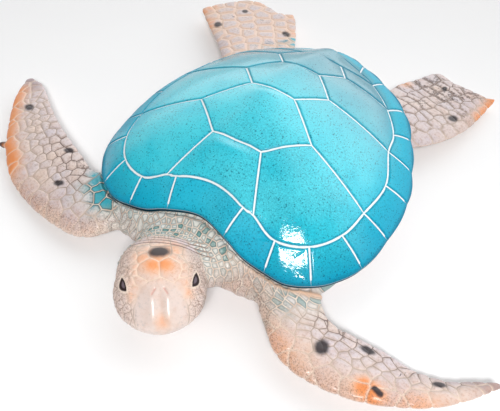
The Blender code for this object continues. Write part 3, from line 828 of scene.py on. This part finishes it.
out, rim_height = past_rim(points)
under_dome = dome(points[:, :2]) - RIM_THICKNESS - .8
ceiling = np.where(out < 0, under_dome, rim_height - RIM_THICKNESS + .8 * out)
points[:, 2] = np.clip(points[:, 2], 0, np.where(out < 6, ceiling, np.inf))
write_points(body.data, points)

# The scales. Their borders are cut into the clay before casting: each scale is the ground nearest to its
# own middle. Middles stand in rows along the flippers and round the neck, as plates on the head and in
# pairs on the belly, and more are scattered between them. Round the neck the borders stand up as a net.
SQUEEZE = np.array([1, 1, .45])     # how a height counts against a distance in plan
WAVE = .8                           # how far the borders stray from straight lines
FRONT_ROWS = ((.12, 12, 0, 26), (.36, 9.5, 5, 10), (.51, 7.2, 2, 2), (.65, 7.0, 5, 1), (.80, 8, 1, 4),
              (.95, 10, 6, 8))      # share of the chord, spacing, first place, weight
LEFT_REAR_ROWS = ((.07, 9, 0, 8), (.22, 6, 5, 2), (.38, 6, 0, 4), (.54, 6, 3, 4), (.70, 6, 0, 4),
                  (.88, 9, 5, 10))
RIGHT_REAR_ROWS = ((.06, 10, 0, 8), (.25, 9.5, 3, 12), (.45, 9.5, 2, 12), (.65, 9.5, 1, 12), (.83, 9, 4, 8),
                   (.96, 9, 0, 5))
ROW_PITCH = .15
FOLDS = (16.4, 23.4)                # where the folds behind the skull start and end
FACE_MIDDLE = .85                   # how far the face's midline stands to the left of the skull's
HEAD_PLATES = ((-11.5, 0, 0), (-1.8, 6.8, 12), (17.6, 0, 172), (-11, 15, 20), (-3.0, 16.5, 2),
               (-18.7, 0, 2), (-20, 10, 6))     # ahead, aside, weight
NECK_MIDDLE = np.array([2.0, -113.0])
NECK_RADIUS = (19.0, 52.0)          # of the rows of small scales behind the head
NECK_SCALE = 2.7                    # width of a scale in the first row
NECK_GROWTH = .05                   # and how much wider a scale is for each millimetre further out
SHOULDER_ROWS = ((2.2, 4.6), (4.8, 4.8), (7.5, 5), (10.3, 5.2), (13.2, 5.4), (16.2, 5.8), (19.4, 6.2))
SHOULDER_ARC = (24, 62)             # degrees from the front between which these rows lie along the rim
SHOULDER_RADIUS = 86                # at which their spacing is turned into degrees
BELLY_PAIRS = ((-44, 12), (-28, 20), (-9, 22), (10, 22), (29, 20), (45, 12))     # y, distance aside
GROOVE = .36                        # depth of a border between scales
GROOVE_WIDTH = .65
PILLOW = .3                         # swell of a scale's middle
PILLOW_WIDTH = 1.8
NET_RISE, NET_WIDTH, NET_FLOOR = .4, .75, .25    # of the borders that stand up, and the ground between them
LOOSE_PLACES = 40000                # tried for the scattered scales
NO_ROOM = 99                        # the room that bars a place to the scattered scales
NEIGHBOURS = 34                     # scales whose borders a scale may have
chance = np.random.default_rng(11)


def scale_rows(flipper, rows, start, stop):
    """Middles in rows along a flipper, which end where the flipper is too narrow for them."""
    places, sizes = [], []
    for across, spacing, first, weight in rows:
        run = np.arange(start + first, stop, spacing)
        run = run + chance.uniform(-.12, .12, len(run)) * spacing
        keep = (flipper.chord(run) * ROW_PITCH > 4) | (across < .2) | ((across > .5) & (across < .7))
        side = across + chance.uniform(-.018, .018, keep.sum())
        places.append(flipper.on_top(run[keep], side))
        sizes.append(np.full(keep.sum(), float(weight)))
    return np.vstack(places), np.concatenate(sizes)


def from_head(ahead, aside, height):
    """Places from millimetres ahead of the eyes and to the left of the face, all at one height."""
    return (HEAD_PLACE * (1, 1, 0) + np.multiply.outer(ahead, HEAD_AHEAD)
            + np.multiply.outer(np.add(aside, FACE_MIDDLE), HEAD_LEFT) + (0, 0, height))


def on_top_of(plan, ground):
    """The highest of the ground's points close to each place in plan."""
    found = []
    for spot in plan:
        close = ground[((ground[:, :2] - spot) ** 2).sum(axis=1) < 1.5]
        if len(close):
            found.append(close[close[:, 2].argmax()])
    return np.array(found)


def scattered(ground, room, taken):
    """Pick points of the ground one by one, none nearer to another than the room that it needs."""
    ground = ground * SQUEEZE
    free = room < NO_ROOM
    for spot in taken * SQUEEZE:
        free &= ((ground - spot) ** 2).sum(axis=1) > (.85 * room) ** 2
    picked = []
    while free.any():
        following = free.argmax()
        picked.append(following)
        free &= ((ground - ground[following]) ** 2).sum(axis=1) > room ** 2
    return np.array(picked)


def wavy(places):
    """Places squeezed in height and pushed about by slow waves, less so on the head."""
    slow = places[:, [1, 2, 0]] / 2.3 + np.sin(places[:, [2, 0, 1]] / 3.1)
    calm = .35 + .65 * soft_step(np.linalg.norm(places - HEAD_PLACE, axis=1), 22, 34)
    return (places + WAVE * calm[:, None] * np.sin(slow)) * SQUEEZE


def owners(places):
    """The number of the scale that each place belongs to: least squared distance less the weight."""
    owner = np.empty(len(places), int)
    for start in range(0, len(places), 20000):
        block = wavy(places[start:start + 20000])
        power = -2 * block @ middles.T + (middles ** 2).sum(axis=1) - weights
        owner[start:start + 20000] = power.argmin(axis=1)
    return owner


def border_gaps(places, normals, owner, others):
    """Distances along the surface from each place to the borders between its scale and some others."""
    own, other = middles[owner][:, None], middles[others]
    apart = own - other
    length = np.linalg.norm(apart, axis=2)
    power = 2 * (wavy(places)[:, None] * apart).sum(axis=2) + (other ** 2 - own ** 2).sum(axis=2)
    gap = (power - weights[others] + weights[owner][:, None]) / (2 * length)
    slope = apart / length[..., None] * SQUEEZE
    slope = slope - (slope * normals[:, None]).sum(axis=2)[..., None] * normals[:, None]
    return gap / np.maximum(np.linalg.norm(slope, axis=2), .3)


def in_head(points):
    """Where points lie on the head: ahead, aside, and skull, their distance from the eyes' line."""
    place = points - HEAD_PLACE * (1, 1, 0)
    ahead, aside = place @ HEAD_AHEAD, place @ HEAD_LEFT
    skull = np.hypot(ahead / HEAD_LENGTH, aside / HEAD_WIDTH) * HEAD_LENGTH
    return ahead, aside - FACE_MIDDLE, skull


def past_skull(points):
    """How far points lie behind a slanting line through the eyes, along which the skull ends."""
    ahead, aside, _ = in_head(points)
    return .2 * aside - ahead


normals = read_normals(body.data)
paired = [(ahead, side * aside, weight) for ahead, aside, weight in HEAD_PLATES
          for side in ((1, -1) if aside else (1,))]
ahead, aside, head_weights = np.array(paired, float).T
belly = np.array([(side * aside, y, 0) for y, aside in BELLY_PAIRS for side in (1, -1)], float)
groups = [(from_head(ahead, aside, 36.0), head_weights), (belly, np.zeros(len(belly))),
          scale_rows(left_front, FRONT_ROWS, 50, 150), scale_rows(right_front, FRONT_ROWS, 40, 190),
          scale_rows(left_rear, LEFT_REAR_ROWS, 30, 88), scale_rows(right_rear, RIGHT_REAR_ROWS, 28, 96)]
upper = points[normals[:, 2] > -.1]
for number, (offset, spacing) in enumerate(SHOULDER_ROWS):
    start, stop = SHOULDER_ARC
    degrees = np.arange(start + number % 2 * 1.8, stop, np.degrees(spacing / SHOULDER_RADIUS))
    ring = on_top_of(on_shell(degrees, past=offset), upper)
    groups.append((ring, np.zeros(len(ring))))
radius, spacing = NECK_RADIUS[0], NECK_SCALE
while radius < NECK_RADIUS[1]:
    turn = (np.arange(-1.9 * radius, 1.9 * radius, spacing) + chance.uniform(0, spacing)) / radius
    ring = on_top_of(NECK_MIDDLE + radius * np.column_stack([np.sin(turn), np.cos(turn)]), upper)
    beyond_skull = (past_skull(ring) > FOLDS[1] - .5) | (in_head(ring)[2] > 27)
    ring = ring[(ring[:, 0] < 32) & beyond_skull & (past_rim(ring)[0] > 1.5)]
    ring += chance.uniform(-.12, .12, ring.shape) * spacing
    groups.append((ring, np.zeros(len(ring))))
    radius, spacing = radius + .92 * spacing, NECK_SCALE + NECK_GROWTH * (radius - NECK_RADIUS[0])
placed = np.vstack([places for places, _ in groups])
ahead, aside, skull = in_head(points)
plate = (np.abs(aside) < 10 - .1 * np.abs(ahead)) & (ahead > -24) & (points[:, 2] > 22) | (
    (ahead > 3) & (np.abs(aside) < 11) & (points[:, 2] > 15))
from_neck = np.linalg.norm(points[:, :2] - NECK_MIDDLE, axis=1)
close_by = np.maximum(fade(from_neck, 46, 62), near(points, (-56, -86, 17), 15))
room = 8.5 - close_by * (5.6 - NECK_GROWTH * np.maximum(from_neck - NECK_RADIUS[0], 0))
room += 3 * soft_step(-normals[:, 2], 0, .5)
behind = past_skull(points)
in_fold = (behind > 15) & (behind < FOLDS[1]) & (skull < 34) & (points[:, 2] > 22)
room = np.where(plate | in_fold, NO_ROOM, room)
loose = chance.permutation(len(points))[:LOOSE_PLACES]
picked = loose[scattered(points[loose], room[loose], placed)]
middles = np.vstack([placed, points[picked]]) * SQUEEZE
weights = np.concatenate([sizes for _, sizes in groups] + [np.zeros(len(picked))])
apart = ((middles[:, None] - middles[None]) ** 2).sum(axis=2) + 1e9 * np.eye(len(middles))
beside = ((apart + weights[:, None] - weights) / np.sqrt(apart)).argsort(axis=1)[:, :NEIGHBOURS]

# The face, the folds behind it and the collar under the shell's front edge are carved over the scales.
EYE = np.array([2.2, 15.8, 32.8])   # ahead, aside and height of an eye's middle
EYE_ALONG = np.array([.886, -.443, -.137])
EYE_UP = np.array([-.120, -.506, .854])
EYE_LENGTH = 6.8
UPPER_LID, LOWER_LID = .9, 2.0     # rise and drop of the lids from the line between the corners
NOSTRILS = ((7.4, 2.0), (9.8, 3.6))  # ahead and aside of the two ends
MOUTH = ((2, 22.5), (8, 24.5), (13, 24.5), (18, 21), (22, 16.5))     # ahead and height
FOLD_STEP, FOLD_DEPTH = 2.2, .35
COLLAR, COLLAR_RISE = 2.0, .9       # how far the collar stands out from the rim, and its height
LID_RISE, LID_CREASE = .5, .3       # the rolled edge round an eye, and the crease over the upper lid
EYE_BULGE = .25
NOSTRIL_DEPTH = .4
MOUTH_DEPTH = .45


def lid_gap(points):
    """Millimetres outside an eye's outline, which two parabolas shape, or inside it if negative."""
    ahead, aside, _ = in_head(points)
    place = np.stack([ahead, np.abs(aside), points[:, 2]], axis=1) - EYE
    along, up = place @ EYE_ALONG / (EYE_LENGTH / 2), place @ EYE_UP
    share = soft_step(up, -.6, .6)
    curve = share / UPPER_LID + (1 - share) / LOWER_LID
    level = np.abs(up) * curve + along ** 2 - 1
    gap = level / np.hypot(curve, 4 * along / EYE_LENGTH)
    off = np.abs(place @ np.cross(EYE_ALONG, EYE_UP))
    return np.where(off < 7, np.minimum(gap, FAR), FAR), up


def nostril_gap(points):
    """Distance from the nearer of the two slanted nostrils."""
    ahead, aside, _ = in_head(points)
    (start, near_side), (stop, far_side) = NOSTRILS
    along = np.array([stop - start, far_side - near_side])
    place = np.stack([ahead - start, np.abs(aside) - near_side], axis=1)
    share = np.clip(place @ along / (along @ along), 0, 1)
    gap = np.linalg.norm(place - share[:, None] * along, axis=1)
    return np.where(points[:, 2] > 24, gap, FAR)


def mouth_gap(points):
    """Height over the mouth's line, on the front of the head."""
    ahead, _, skull = in_head(points)
    gap = points[:, 2] - np.interp(ahead, *zip(*MOUTH))
    return np.where((ahead > 2) & (skull < 32), gap, FAR)


def neck_net(points):
    """1 where the borders between scales stand up as a net: round the neck and on the shoulders."""
    away = points[:, :2] - NECK_MIDDLE
    radius = np.linalg.norm(away, axis=1)
    behind = soft_step(away[:, 1] / np.maximum(radius, 1), -.5, -.2)
    beyond = np.maximum(past_skull(points) - FOLDS[1], in_head(points)[2] - 26)
    band = soft_step(beyond, -.5, 1.5) * fade(radius, 46, 58) * behind
    shoulder = near(points, [(40, -88, 20), (52, -84, 20), (62, -77, 20), (50, -90, 14)], 11)
    other = near(points, [(-50, -84, 18), (-57, -83, 17), (-64, -80, 16)], 10)
    return np.clip(np.maximum(band, 1.4 * np.maximum(shoulder, other)), 0, 1)


def head_form(points):
    """Soft forms of the head over the skull: snout, brows, cheeks and the hollows round the eyes."""
    ahead, aside, _ = in_head(points)
    side, top = np.abs(aside), soft_step(points[:, 2], 20, 25)
    snout = soft_step(ahead, 6, 11) * fade(ahead, 18.5, 22) * top
    form = snout * (.8 * bell((side - 3.7) / 2.5) - .3 * bell(aside / 1.6))
    form += .8 * bell((ahead + .5) / 6, (side - 13.2) / 2.4) * top
    form -= .35 * bell((ahead - 9) / 5, (side - 11) / 3) * top
    form -= .35 * bell((ahead + 4) / 5, aside / 1.6) * top
    return form


def in_folds(points):
    """1 on the band of folds behind the skull."""
    behind = past_skull(points)
    return (soft_step(behind, FOLDS[0], FOLDS[0] + 1) * fade(behind, FOLDS[1], FOLDS[1] + 1.5)
            * soft_step(points[:, 2], 14, 20) * fade(in_head(points)[2], 30, 36))


def carving(points, normals):
    """How far each point moves out along its normal: scales, face, folds and collar together."""
    owner = owners(points)
    edge = np.maximum(border_gaps(points, normals, owner, beside[owner]).min(axis=1), 0)
    net = neck_net(points)
    ahead, aside, skull = in_head(points)
    lid, up = lid_gap(points)
    groove = -GROOVE * bell(edge / GROOVE_WIDTH) + PILLOW * (1 - np.exp(-edge / PILLOW_WIDTH))
    ridge = NET_RISE * bell(edge / NET_WIDTH) - NET_FLOOR
    smooth_snout = soft_step(ahead, 3.5, 6) * (skull < 30) * fade(np.abs(aside), 8, 16)
    fine = 1 - .4 * fade(np.linalg.norm(points - HEAD_PLACE, axis=1), 28, 40) * soft_step(skull, 14, 18)
    relief = (groove * fine * (1 - net) + ridge * net) * soft_step(lid, .8, 2.2) * (1 - .85 * smooth_snout)
    fold = in_folds(points)
    wave = np.cos((past_skull(points) - FOLDS[0]) * 2 * np.pi / FOLD_STEP)
    relief = relief * (1 - fold) + FOLD_DEPTH * fold * wave
    relief += head_form(points)
    relief += LID_RISE * bell((lid - .7) / .5)
    relief -= LID_CREASE * bell((lid - 2.3) / .5) * (up > 0)
    relief += np.where(lid < 0, EYE_BULGE * (1 - np.exp(lid)) - EYE_BULGE, 0)
    relief -= NOSTRIL_DEPTH * bell(nostril_gap(points) / .5)
    relief -= MOUTH_DEPTH * bell(mouth_gap(points) / .45)
    out, rim_height = past_rim(points)
    front = soft_step(-points[:, 1], 30, 60) * soft_step(points[:, 2] - rim_height, -14, -9)
    return relief + front * COLLAR_RISE * bell((out - COLLAR) / 1.1)


points = points + normals * carving(points, normals)[:, None]
points[:, 2] = np.maximum(points[:, 2], 0)
write_points(body.data, points)
count = 2 * len(body.data.polygons)
remake(body, "DECIMATE", ratio=BODY_TRIANGLES / count, use_collapse_triangulate=True)
body.data.shade_smooth()

# The paint. Cream and pink-beige, with orange sprayed along the leading edges and between the eyes, teal
# wiped into the hollows of the neck, thin brown in the borders with a painted highlight beside them, painted
# shade at the foot of the neck's net, dark round spots, and a satin varnish that shines most on the beak.
SPOTS = ((81.9, -99.5, 4.4, 3.5, 92), (100.0, -87.2, 4.0, 2.4, 7), (134.5, -85.5, 3.5, 1.9, 32),
         (-155.7, -43.9, 3.9, 2.6, -17), (-103.9, -63.1, 3.4, 2.2, 10), (-90.9, -85.8, 3.5, 2.1, 10),
         (-99.4, 89.1, 3.4, 2.9, 122), (-92.3, 114.1, 2.5, 2.2, 124), (-53.2, 106.1, 3.6, 3.0, 118),
         (62.9, 111.8, 2.6, 1.7, 88), (78.1, 84.7, 3.8, 2.8, 65))     # x, y, half sizes, turn in degrees
CROWN = (-10.8, 3.2, 5.5)           # ahead, and half its length and width
CREAM, ROSE, LILAC = (228, 207, 194), (213, 200, 204), (212, 206, 214)
BEIGE, TAN, GRIME = (228, 208, 197), (208, 172, 150), (166, 132, 118)
DARK_TAN, SOOT, WASH = (206, 162, 136), (80, 62, 62), (96, 74, 70)
DUSK, LIGHT_ORANGE, ORANGE = (136, 110, 114), (248, 194, 146), (242, 145, 74)
PALE_STRIP, PALE_TEAL, TEAL = (240, 218, 202), (228, 238, 230), (44, 134, 132)
NET_SHADOW_TEAL, DARK_BLUE, LIGHT_BLUE = (44, 76, 76), (0, 104, 124), (40, 168, 186)
HIGHLIGHT_CREAM, WIDE_HALO, LIGHT_RIDGE = (238, 216, 200), (236, 200, 176), (244, 226, 210)
DARK_RIDGE, PALE_LINE, DARK_LINE = (222, 194, 174), (244, 222, 200), (92, 70, 68)
COLLAR_TAN, FOLD_BROWN, GRAIN_BROWN = (232, 186, 152), (118, 88, 80), (120, 82, 72)
SPOT_BLACK, CLAW_BLACK, NOSTRIL_PINK = (50, 42, 46), (58, 46, 48), (216, 158, 146)
MOUTH_BROWN, PALE_LID, EYE_BLACK = (136, 104, 92), (240, 222, 204), (46, 32, 32)
EYE_GREY = (112, 98, 106)


def stroke(flipper, edge, start, stop):
    """Places along a flipper's leading or trailing edge, between two shares of its length."""
    run = np.linspace(start, stop, 30) * (len(flipper.run) - 1)
    return getattr(flipper, edge)[run.astype(int)]


def on_claw(points, number, start, stop):
    """Distance from part of a claw's line."""
    root, ahead = claw_line(CLAWS[number])
    along = np.clip((points - root) @ ahead, start, stop)
    return np.linalg.norm(points - root - along[:, None] * ahead, axis=1)


def dabs(*marks):
    """The sum of soft dabs on the skin, each given as its strength, the places along it and its reach."""
    return sum(strength * near(points, path, reach) for strength, path, reach in marks)


points, normals = read_points(body.data), read_normals(body.data)
corners = read(body.data.loops, "vertex_index", 1, np.int32).reshape(-1, 3)
a, b, c = (points[corners[:, k]] for k in range(3))
way = np.cross(b - a, c - a)
way /= np.maximum(np.linalg.norm(way, axis=1), 1e-9)[:, None]
centre = points[corners].mean(axis=1)
owner = owners(centre)
gaps = border_gaps(centre, way, owner, beside[owner])
closest = np.take_along_axis(beside[owner], gaps.argsort(axis=1)[:, :3], axis=1)
borders = np.stack([border_gaps(corner, way, owner, closest) for corner in (a, b, c)], axis=1)
attribute(body.data, "borders", borders.reshape(-1, 3), "CORNER")
attribute(body.data, "tone", chance.permutation(len(middles))[owner] / len(middles), "FACE")

x, y, z = points.T
ahead, aside, skull = in_head(points)
off_middle, behind = np.abs(aside), past_skull(points)
lid, (out, rim_height), net = lid_gap(points)[0], past_rim(points), neck_net(points)
on_head = fade(skull, 25, 29) * soft_step(z, 4, 10) * fade(behind, 16, 18)
beak = soft_step(ahead, 3.5, 6) * fade(off_middle + .15 * np.maximum(ahead - 10, 0), 8, 16)
plain = on_head * np.maximum(beak, .35 * soft_step(off_middle, 10, 13))
facing_down = fade(normals[:, 2], -.1, .45)
flippers = (left_front, right_front, left_rear, right_rear)
lead = near(points, np.vstack([stroke(flipper, "lead", .12, 1) for flipper in flippers]), 9)
strip = np.clip(facing_down * lead + .8 * near(points, stroke(right_front, "lead", .08, .36), 6), 0, 1)
orange = np.clip(dabs(
    (1, stroke(right_front, "lead", .6, .9), 10),
    (.4, stroke(right_front, "lead", .15, .6), 13),
    (.22, stroke(left_front, "lead", .08, .3), 13),
    (.34, stroke(left_front, "lead", .3, .72), 14),
    (.25, stroke(left_front, "lead", .72, 1), 7),
    (1.1, ((107, -106.5, 15), (111, -107.5, 15)), 4.5),
    (1, ((92, 100, 6), (93.5, 107, 6), (94, 114, 6), (94, 121, 6)), 6.5),
    (.75, ((-119, 99, 11), (-117, 107, 11), (-104, 84, 12), (-108, 90, 12)), 7),
    (.6, ((39, 101, 12), (-60, 129, 11), (-50, 112, 11), (-90, 131, 11)), 6.5),
    (.5, from_head((-4, -3.4, -4.4, -4.4, -3.4), (0, -2.9, -1.5, 1.7, 3.3), 38), 3.6),
    (.42, from_head((-4, -9), (0, 0), 38), 14),
    (.3, from_head((-2, -2, 4, 4), (12, -12, 12, -12), 34), 4),
    (.85, from_head(17.8, .5, 24.5), 4.6),
    (.6, from_head((8.5, 8.5), (12.8, -12.8), 30), 3),
    (.3, from_head((-9, -14), (-9, 8), 38), 5)), 0, 1)
left_shoulder = near(points, ((40, -88, 20), (52, -84, 20), (62, -77, 20), (50, -92, 14)), 12)
throat = near(points, ((30, -104, 12), (22, -104, 14), (-34, -100, 12), (-24, -106, 14), (38, -98, 10),
                       (33, -94, 14), (26, -98, 15)), 12)
teal = np.clip(net + .8 * np.exp(-np.maximum(out, 0) / 4) * soft_step(-y, 20, 50), 0, 1)
teal *= (1 - .6 * left_shoulder) * soft_step(z, 8, 15) * (1 - .85 * throat)
blue = np.clip(dabs(
    (1, ((-56, -82, 18), (-63, -82, 16), (-70, -75, 16), (-60, -88, 15)), 8),
    (1, ((-70, 70, 13), (-63, 77, 13), (-60, 82, 13), (-56, 86, 13), (-51, 90, 13), (-47, 97, 12),
         (-44, 101, 12)), 5.5)), 0, 1)
spot = np.full((len(points), 3), FAR)
for middle_x, middle_y, length, width, degrees in SPOTS:
    cosine, sine = np.cos(np.radians(degrees)), np.sin(np.radians(degrees))
    turned = (points[:, :2] - (middle_x, middle_y)) @ ((cosine, -sine), (sine, cosine)) / (length, width)
    closer = (np.linalg.norm(turned, axis=1) < np.linalg.norm(spot, axis=1)) & (normals[:, 2] > 0)
    spot[closer] = np.column_stack([turned, 0 * x])[closer]
on_crown = (np.hypot(ahead - CROWN[0], aside) < 16) & (z > 26)
spot[on_crown] = np.stack([(ahead - CROWN[0]) / CROWN[1], aside / CROWN[2], 0 * x], axis=1)[on_crown]
claws = np.minimum(on_claw(points, 0, 4, 7) - 1.6, on_claw(points, 1, 6, 10) - 2.0)
on_cheek = .1 + .8 * soft_step(off_middle, 11, 15)
speckle = np.clip(facing_down * lead + on_head * on_cheek + throat + dabs(
    (1, stroke(left_front, "lead", .1, .7), 13),
    (1, stroke(right_front, "lead", .1, .5), 11),
    (.8, stroke(right_front, "lead", .08, .4), 9),
    (.9, ((88, 92, 7), (91, 101, 7), (92, 110, 6), (90, 119, 6), (80, 118, 6)), 9)), 0, 1)
on_left_rear = soft_step(y, 30, 50) * soft_step(x, 25, 40)
wide = soft_step(y, 45, 62) * soft_step(-x, 15, 28)
on_brow = .5 * soft_step(ahead, -11, -7) * fade(off_middle, 10, 13) - .05
bare = .9 * orange + .35 * lead + .3 * facing_down * lead + .7 * wide + on_head * on_brow
ink = np.clip(.66 - bare + dabs(
    (.5, from_head((-14.8, -14.5, -13.5), (0, 4, 7), 37), 3.5),
    (.6, stroke(right_front, "trail", 0, .4), 14),
    (.35, stroke(left_front, "trail", .2, .8), 9),
    (.4, stroke(left_rear, "trail", 0, 1), 30)), 0, 1)
wash = np.clip(.3 + .8 * on_left_rear - on_head - .6 * lead - .3 * wide + dabs(
    (.6, stroke(right_front, "trail", 0, .5), 14),
    (.4, stroke(left_front, "trail", .1, .8), 10)), 0, 1)
soot = np.clip(dabs(
    (.9, ((38, 99, 10), (45, 107, 9), (53, 117, 8)), 8),
    (.8, ((60, 101, 8), (66, 99, 8), (67, 109, 8), (71, 106, 8)), 4),
    (.7, ((74, 123, 6), (82, 121, 6), (90, 122, 6)), 6),
    (.6, ((60, 104, 8), (68, 98, 8), (82, 94, 7), (56, 84, 12), (76, 110, 7)), 7),
    (.6, stroke(right_front, "trail", .05, .3), 7),
    (.9, ((-56, 76, 12), (-48, 80, 12), (-40, 82, 12)), 6),
    (.5, ((-52, 106, 12), (-60, 130, 11), (-118, 102, 11)), 6)), 0, 1)
tip = np.clip(dabs(
    (1, ((159, -70, 8), (152, -74, 8), (-176, -20, 6), (-172, -26, 7)), 7),
    (.6, stroke(left_front, "trail", .75, 1), 5)), 0, 1)
collar = (bell((out - COLLAR) / 1.4) * soft_step(z - rim_height, -14, -9) * soft_step(-y, 40, 60)
          * soft_step(x, 20, 45))
between_ridges = bell(aside / 1.8) * soft_step(ahead, 4, 8)
under_plates = fade(ahead, 5, 6.5) * soft_step(ahead, -6, -3)
beside_beak = soft_step(off_middle, 9.5, 11.5) * (ahead < 14)
matt = on_head * np.clip(between_ridges + under_plates + beside_beak, 0, 1)
for name, values in {
        "net": net, "orange": orange, "teal": teal, "spot": spot, "lid": lid, "ink": ink, "claw": claws,
        "speckle": speckle, "behind": behind, "head": on_head, "nostril": nostril_gap(points),
        "mouth": mouth_gap(points), "wide": wide, "strip": strip, "soot": soot, "wash": wash, "blue": blue,
        "collar": collar, "folds": in_folds(points), "plain": plain, "matt": matt, "tip": tip}.items():
    attribute(body.data, name, values)

flesh = Paint("painted skin")
net, orange, teal, ink, tone, lid, head, strip, speckle, soot, blue, wide, plain, matt = (
    flesh.read(name) for name in ("net", "orange", "teal", "ink", "tone", "lid", "head", "strip", "speckle",
                                  "soot", "blue", "wide", "plain", "matt"))
gap = flesh.node("SeparateXYZ", {}, {0: flesh.read("borders", "Vector")})
edge = gap.math("ABSOLUTE").math("MINIMUM", gap.output(1).math("ABSOLUTE"))
edge = edge.math("MINIMUM", gap.output(2).math("ABSOLUTE"))
waver = flesh.noise(2.4, 3) - .5
cloud, fine = flesh.noise(20, 4), flesh.noise(4, 3)
grime, grains = flesh.noise(1.6, 5, .75), flesh.noise(.7, 5, .8)
clear_of_eye = flesh.step(lid, .9, 1.8) * (1 - strip * .8) * (1 - plain * .85)
in_net = flesh.step(net, .15, .6)
off_net = 1 - in_net
flesh.tone = flesh.mix(flesh.step(cloud, .3, .7), CREAM, ROSE)
flesh.over(tone * .45, LILAC)
flesh.over(head * .8, BEIGE)
flesh.over(flesh.step(fine, .45, .75) * .35, TAN)
flesh.over(flesh.step(grime, .46, .66) * (.5 - plain * .4), GRIME)
to_left = flesh.step(flesh.node("SeparateXYZ", {}, {0: flesh.place()}), -.01, .02)
flesh.over(speckle * (1 - head) * (1 - strip) * to_left * .4, DARK_TAN)
# Brush marks: soot in patches, and a brown wash along the borders.
flesh.over(flesh.step(grime * 1.3 + soot * .3 - edge * .08, .62, .86) * flesh.step(soot, 0, .6), SOOT)
wash = flesh.fade(edge + waver * 1.2, .2, 1.5) * clear_of_eye * off_net * flesh.read("wash")
flesh.over(wash * flesh.step(fine, .38, .6) * .8, WASH)
flesh.over(flesh.read("tip") * .7, DUSK)
sprayed = flesh.step(orange + waver * .3 + (grime - .5) * .3, .02, .95)
flesh.over(sprayed * .92, flesh.mix(orange, LIGHT_ORANGE, ORANGE))
flesh.over(strip * .7, PALE_STRIP)
# Teal and turquoise in the scales of the neck and shoulders, and dark teal painted as shade at the foot of
# their net.
flesh.over(teal * .6, PALE_TEAL)
flesh.over(teal * flesh.step(tone * .8 + cloud * .7 + grime * .5, 1.05, 1.3) * .8, TEAL)
flesh.over(flesh.step(blue + tone * .45 + (grime - .5), .45, 1.1) * .9,
           flesh.mix(flesh.step(tone, .3, .7), DARK_BLUE, LIGHT_BLUE))
net_foot_shadow = flesh.fade(edge + waver * .9, .5, 1.3) * in_net
flesh.over(net_foot_shadow * (.18 + teal * .36 + blue * .45), NET_SHADOW_TEAL)
# The borders: a pale halo, which is painted highlight on the raised edges of the scales and peach paint
# where the lines are wide, the net's ridges, and thin lines that are dark where ink was rubbed in.
halo_and_highlight = flesh.fade(edge + waver * .7 - wide * 1.1, .4, 1.15) * clear_of_eye
flesh.over(halo_and_highlight * off_net * (.35 + wide * .3), flesh.mix(wide, HIGHLIGHT_CREAM, WIDE_HALO))
ridge = flesh.fade(edge + waver * .5, .14, .44) * in_net * clear_of_eye
flesh.over(ridge * .85, flesh.mix(flesh.step(fine, .4, .6), LIGHT_RIDGE, DARK_RIDGE))
line = flesh.fade(edge + waver * .35, .15, .42) * clear_of_eye
flesh.over(line * off_net * (.55 + ink * .3), flesh.mix(ink, PALE_LINE, DARK_LINE))
flesh.over(flesh.read("collar") * .85, COLLAR_TAN)
fold = (flesh.read("behind") + waver * .5 - FOLDS[0]) * (2 * np.pi / FOLD_STEP)
flesh.over(flesh.step(fold.math("COSINE"), -.2, -.95) * flesh.read("folds") * .75, FOLD_BROWN)
flesh.over(flesh.step(grains + speckle * .1, .58, .7) * (.1 + speckle * .6), GRAIN_BROWN)
# Spots, claws and the face.
spot = flesh.node("VectorMath", {"operation": "LENGTH"}, {0: flesh.read("spot", "Vector")}, output=1)
flesh.over(flesh.fade(spot + waver * .3, .6, 1.3) * .97, SPOT_BLACK)
flesh.over(flesh.fade(flesh.read("claw") + waver * .5, -.3, .6), CLAW_BLACK)
flesh.over(flesh.fade(flesh.read("nostril"), .1, .7) * .6, NOSTRIL_PINK)
mouth = flesh.read("mouth").math("ABSOLUTE")
flesh.over(flesh.fade(mouth + waver * .3, .1, .55) * .7, MOUTH_BROWN)
flesh.over(flesh.step(lid, .1, .4) * flesh.fade(lid, .9, 1.5) * .6, PALE_LID)
flesh.over(flesh.fade(lid, .1, .5), EYE_BLACK)
flesh.over(flesh.fade(lid, -1.1, -.5), EYE_GREY)
cut = flesh.fade(edge, 0, .8) * clear_of_eye
height = grime * (.6 - head * .3) - cut * off_net + ridge * 1.2
flesh.set(base_color=flesh.tone,
          roughness=.45 + matt * .3 + line * .1 - flesh.fade(lid, -.2, .2) * .25,
          coat_weight=.32 + head * .28 - matt * .6 - strip * .25,
          coat_roughness=.17,
          specular_ior_level=.3,
          normal=flesh.node("Bump", {}, {"Strength": .5, "Distance": .00025, "Height": height}))
body.data.materials.clear()
body.data.materials.append(flesh.material)
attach(body, "root")
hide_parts("sea_turtle")
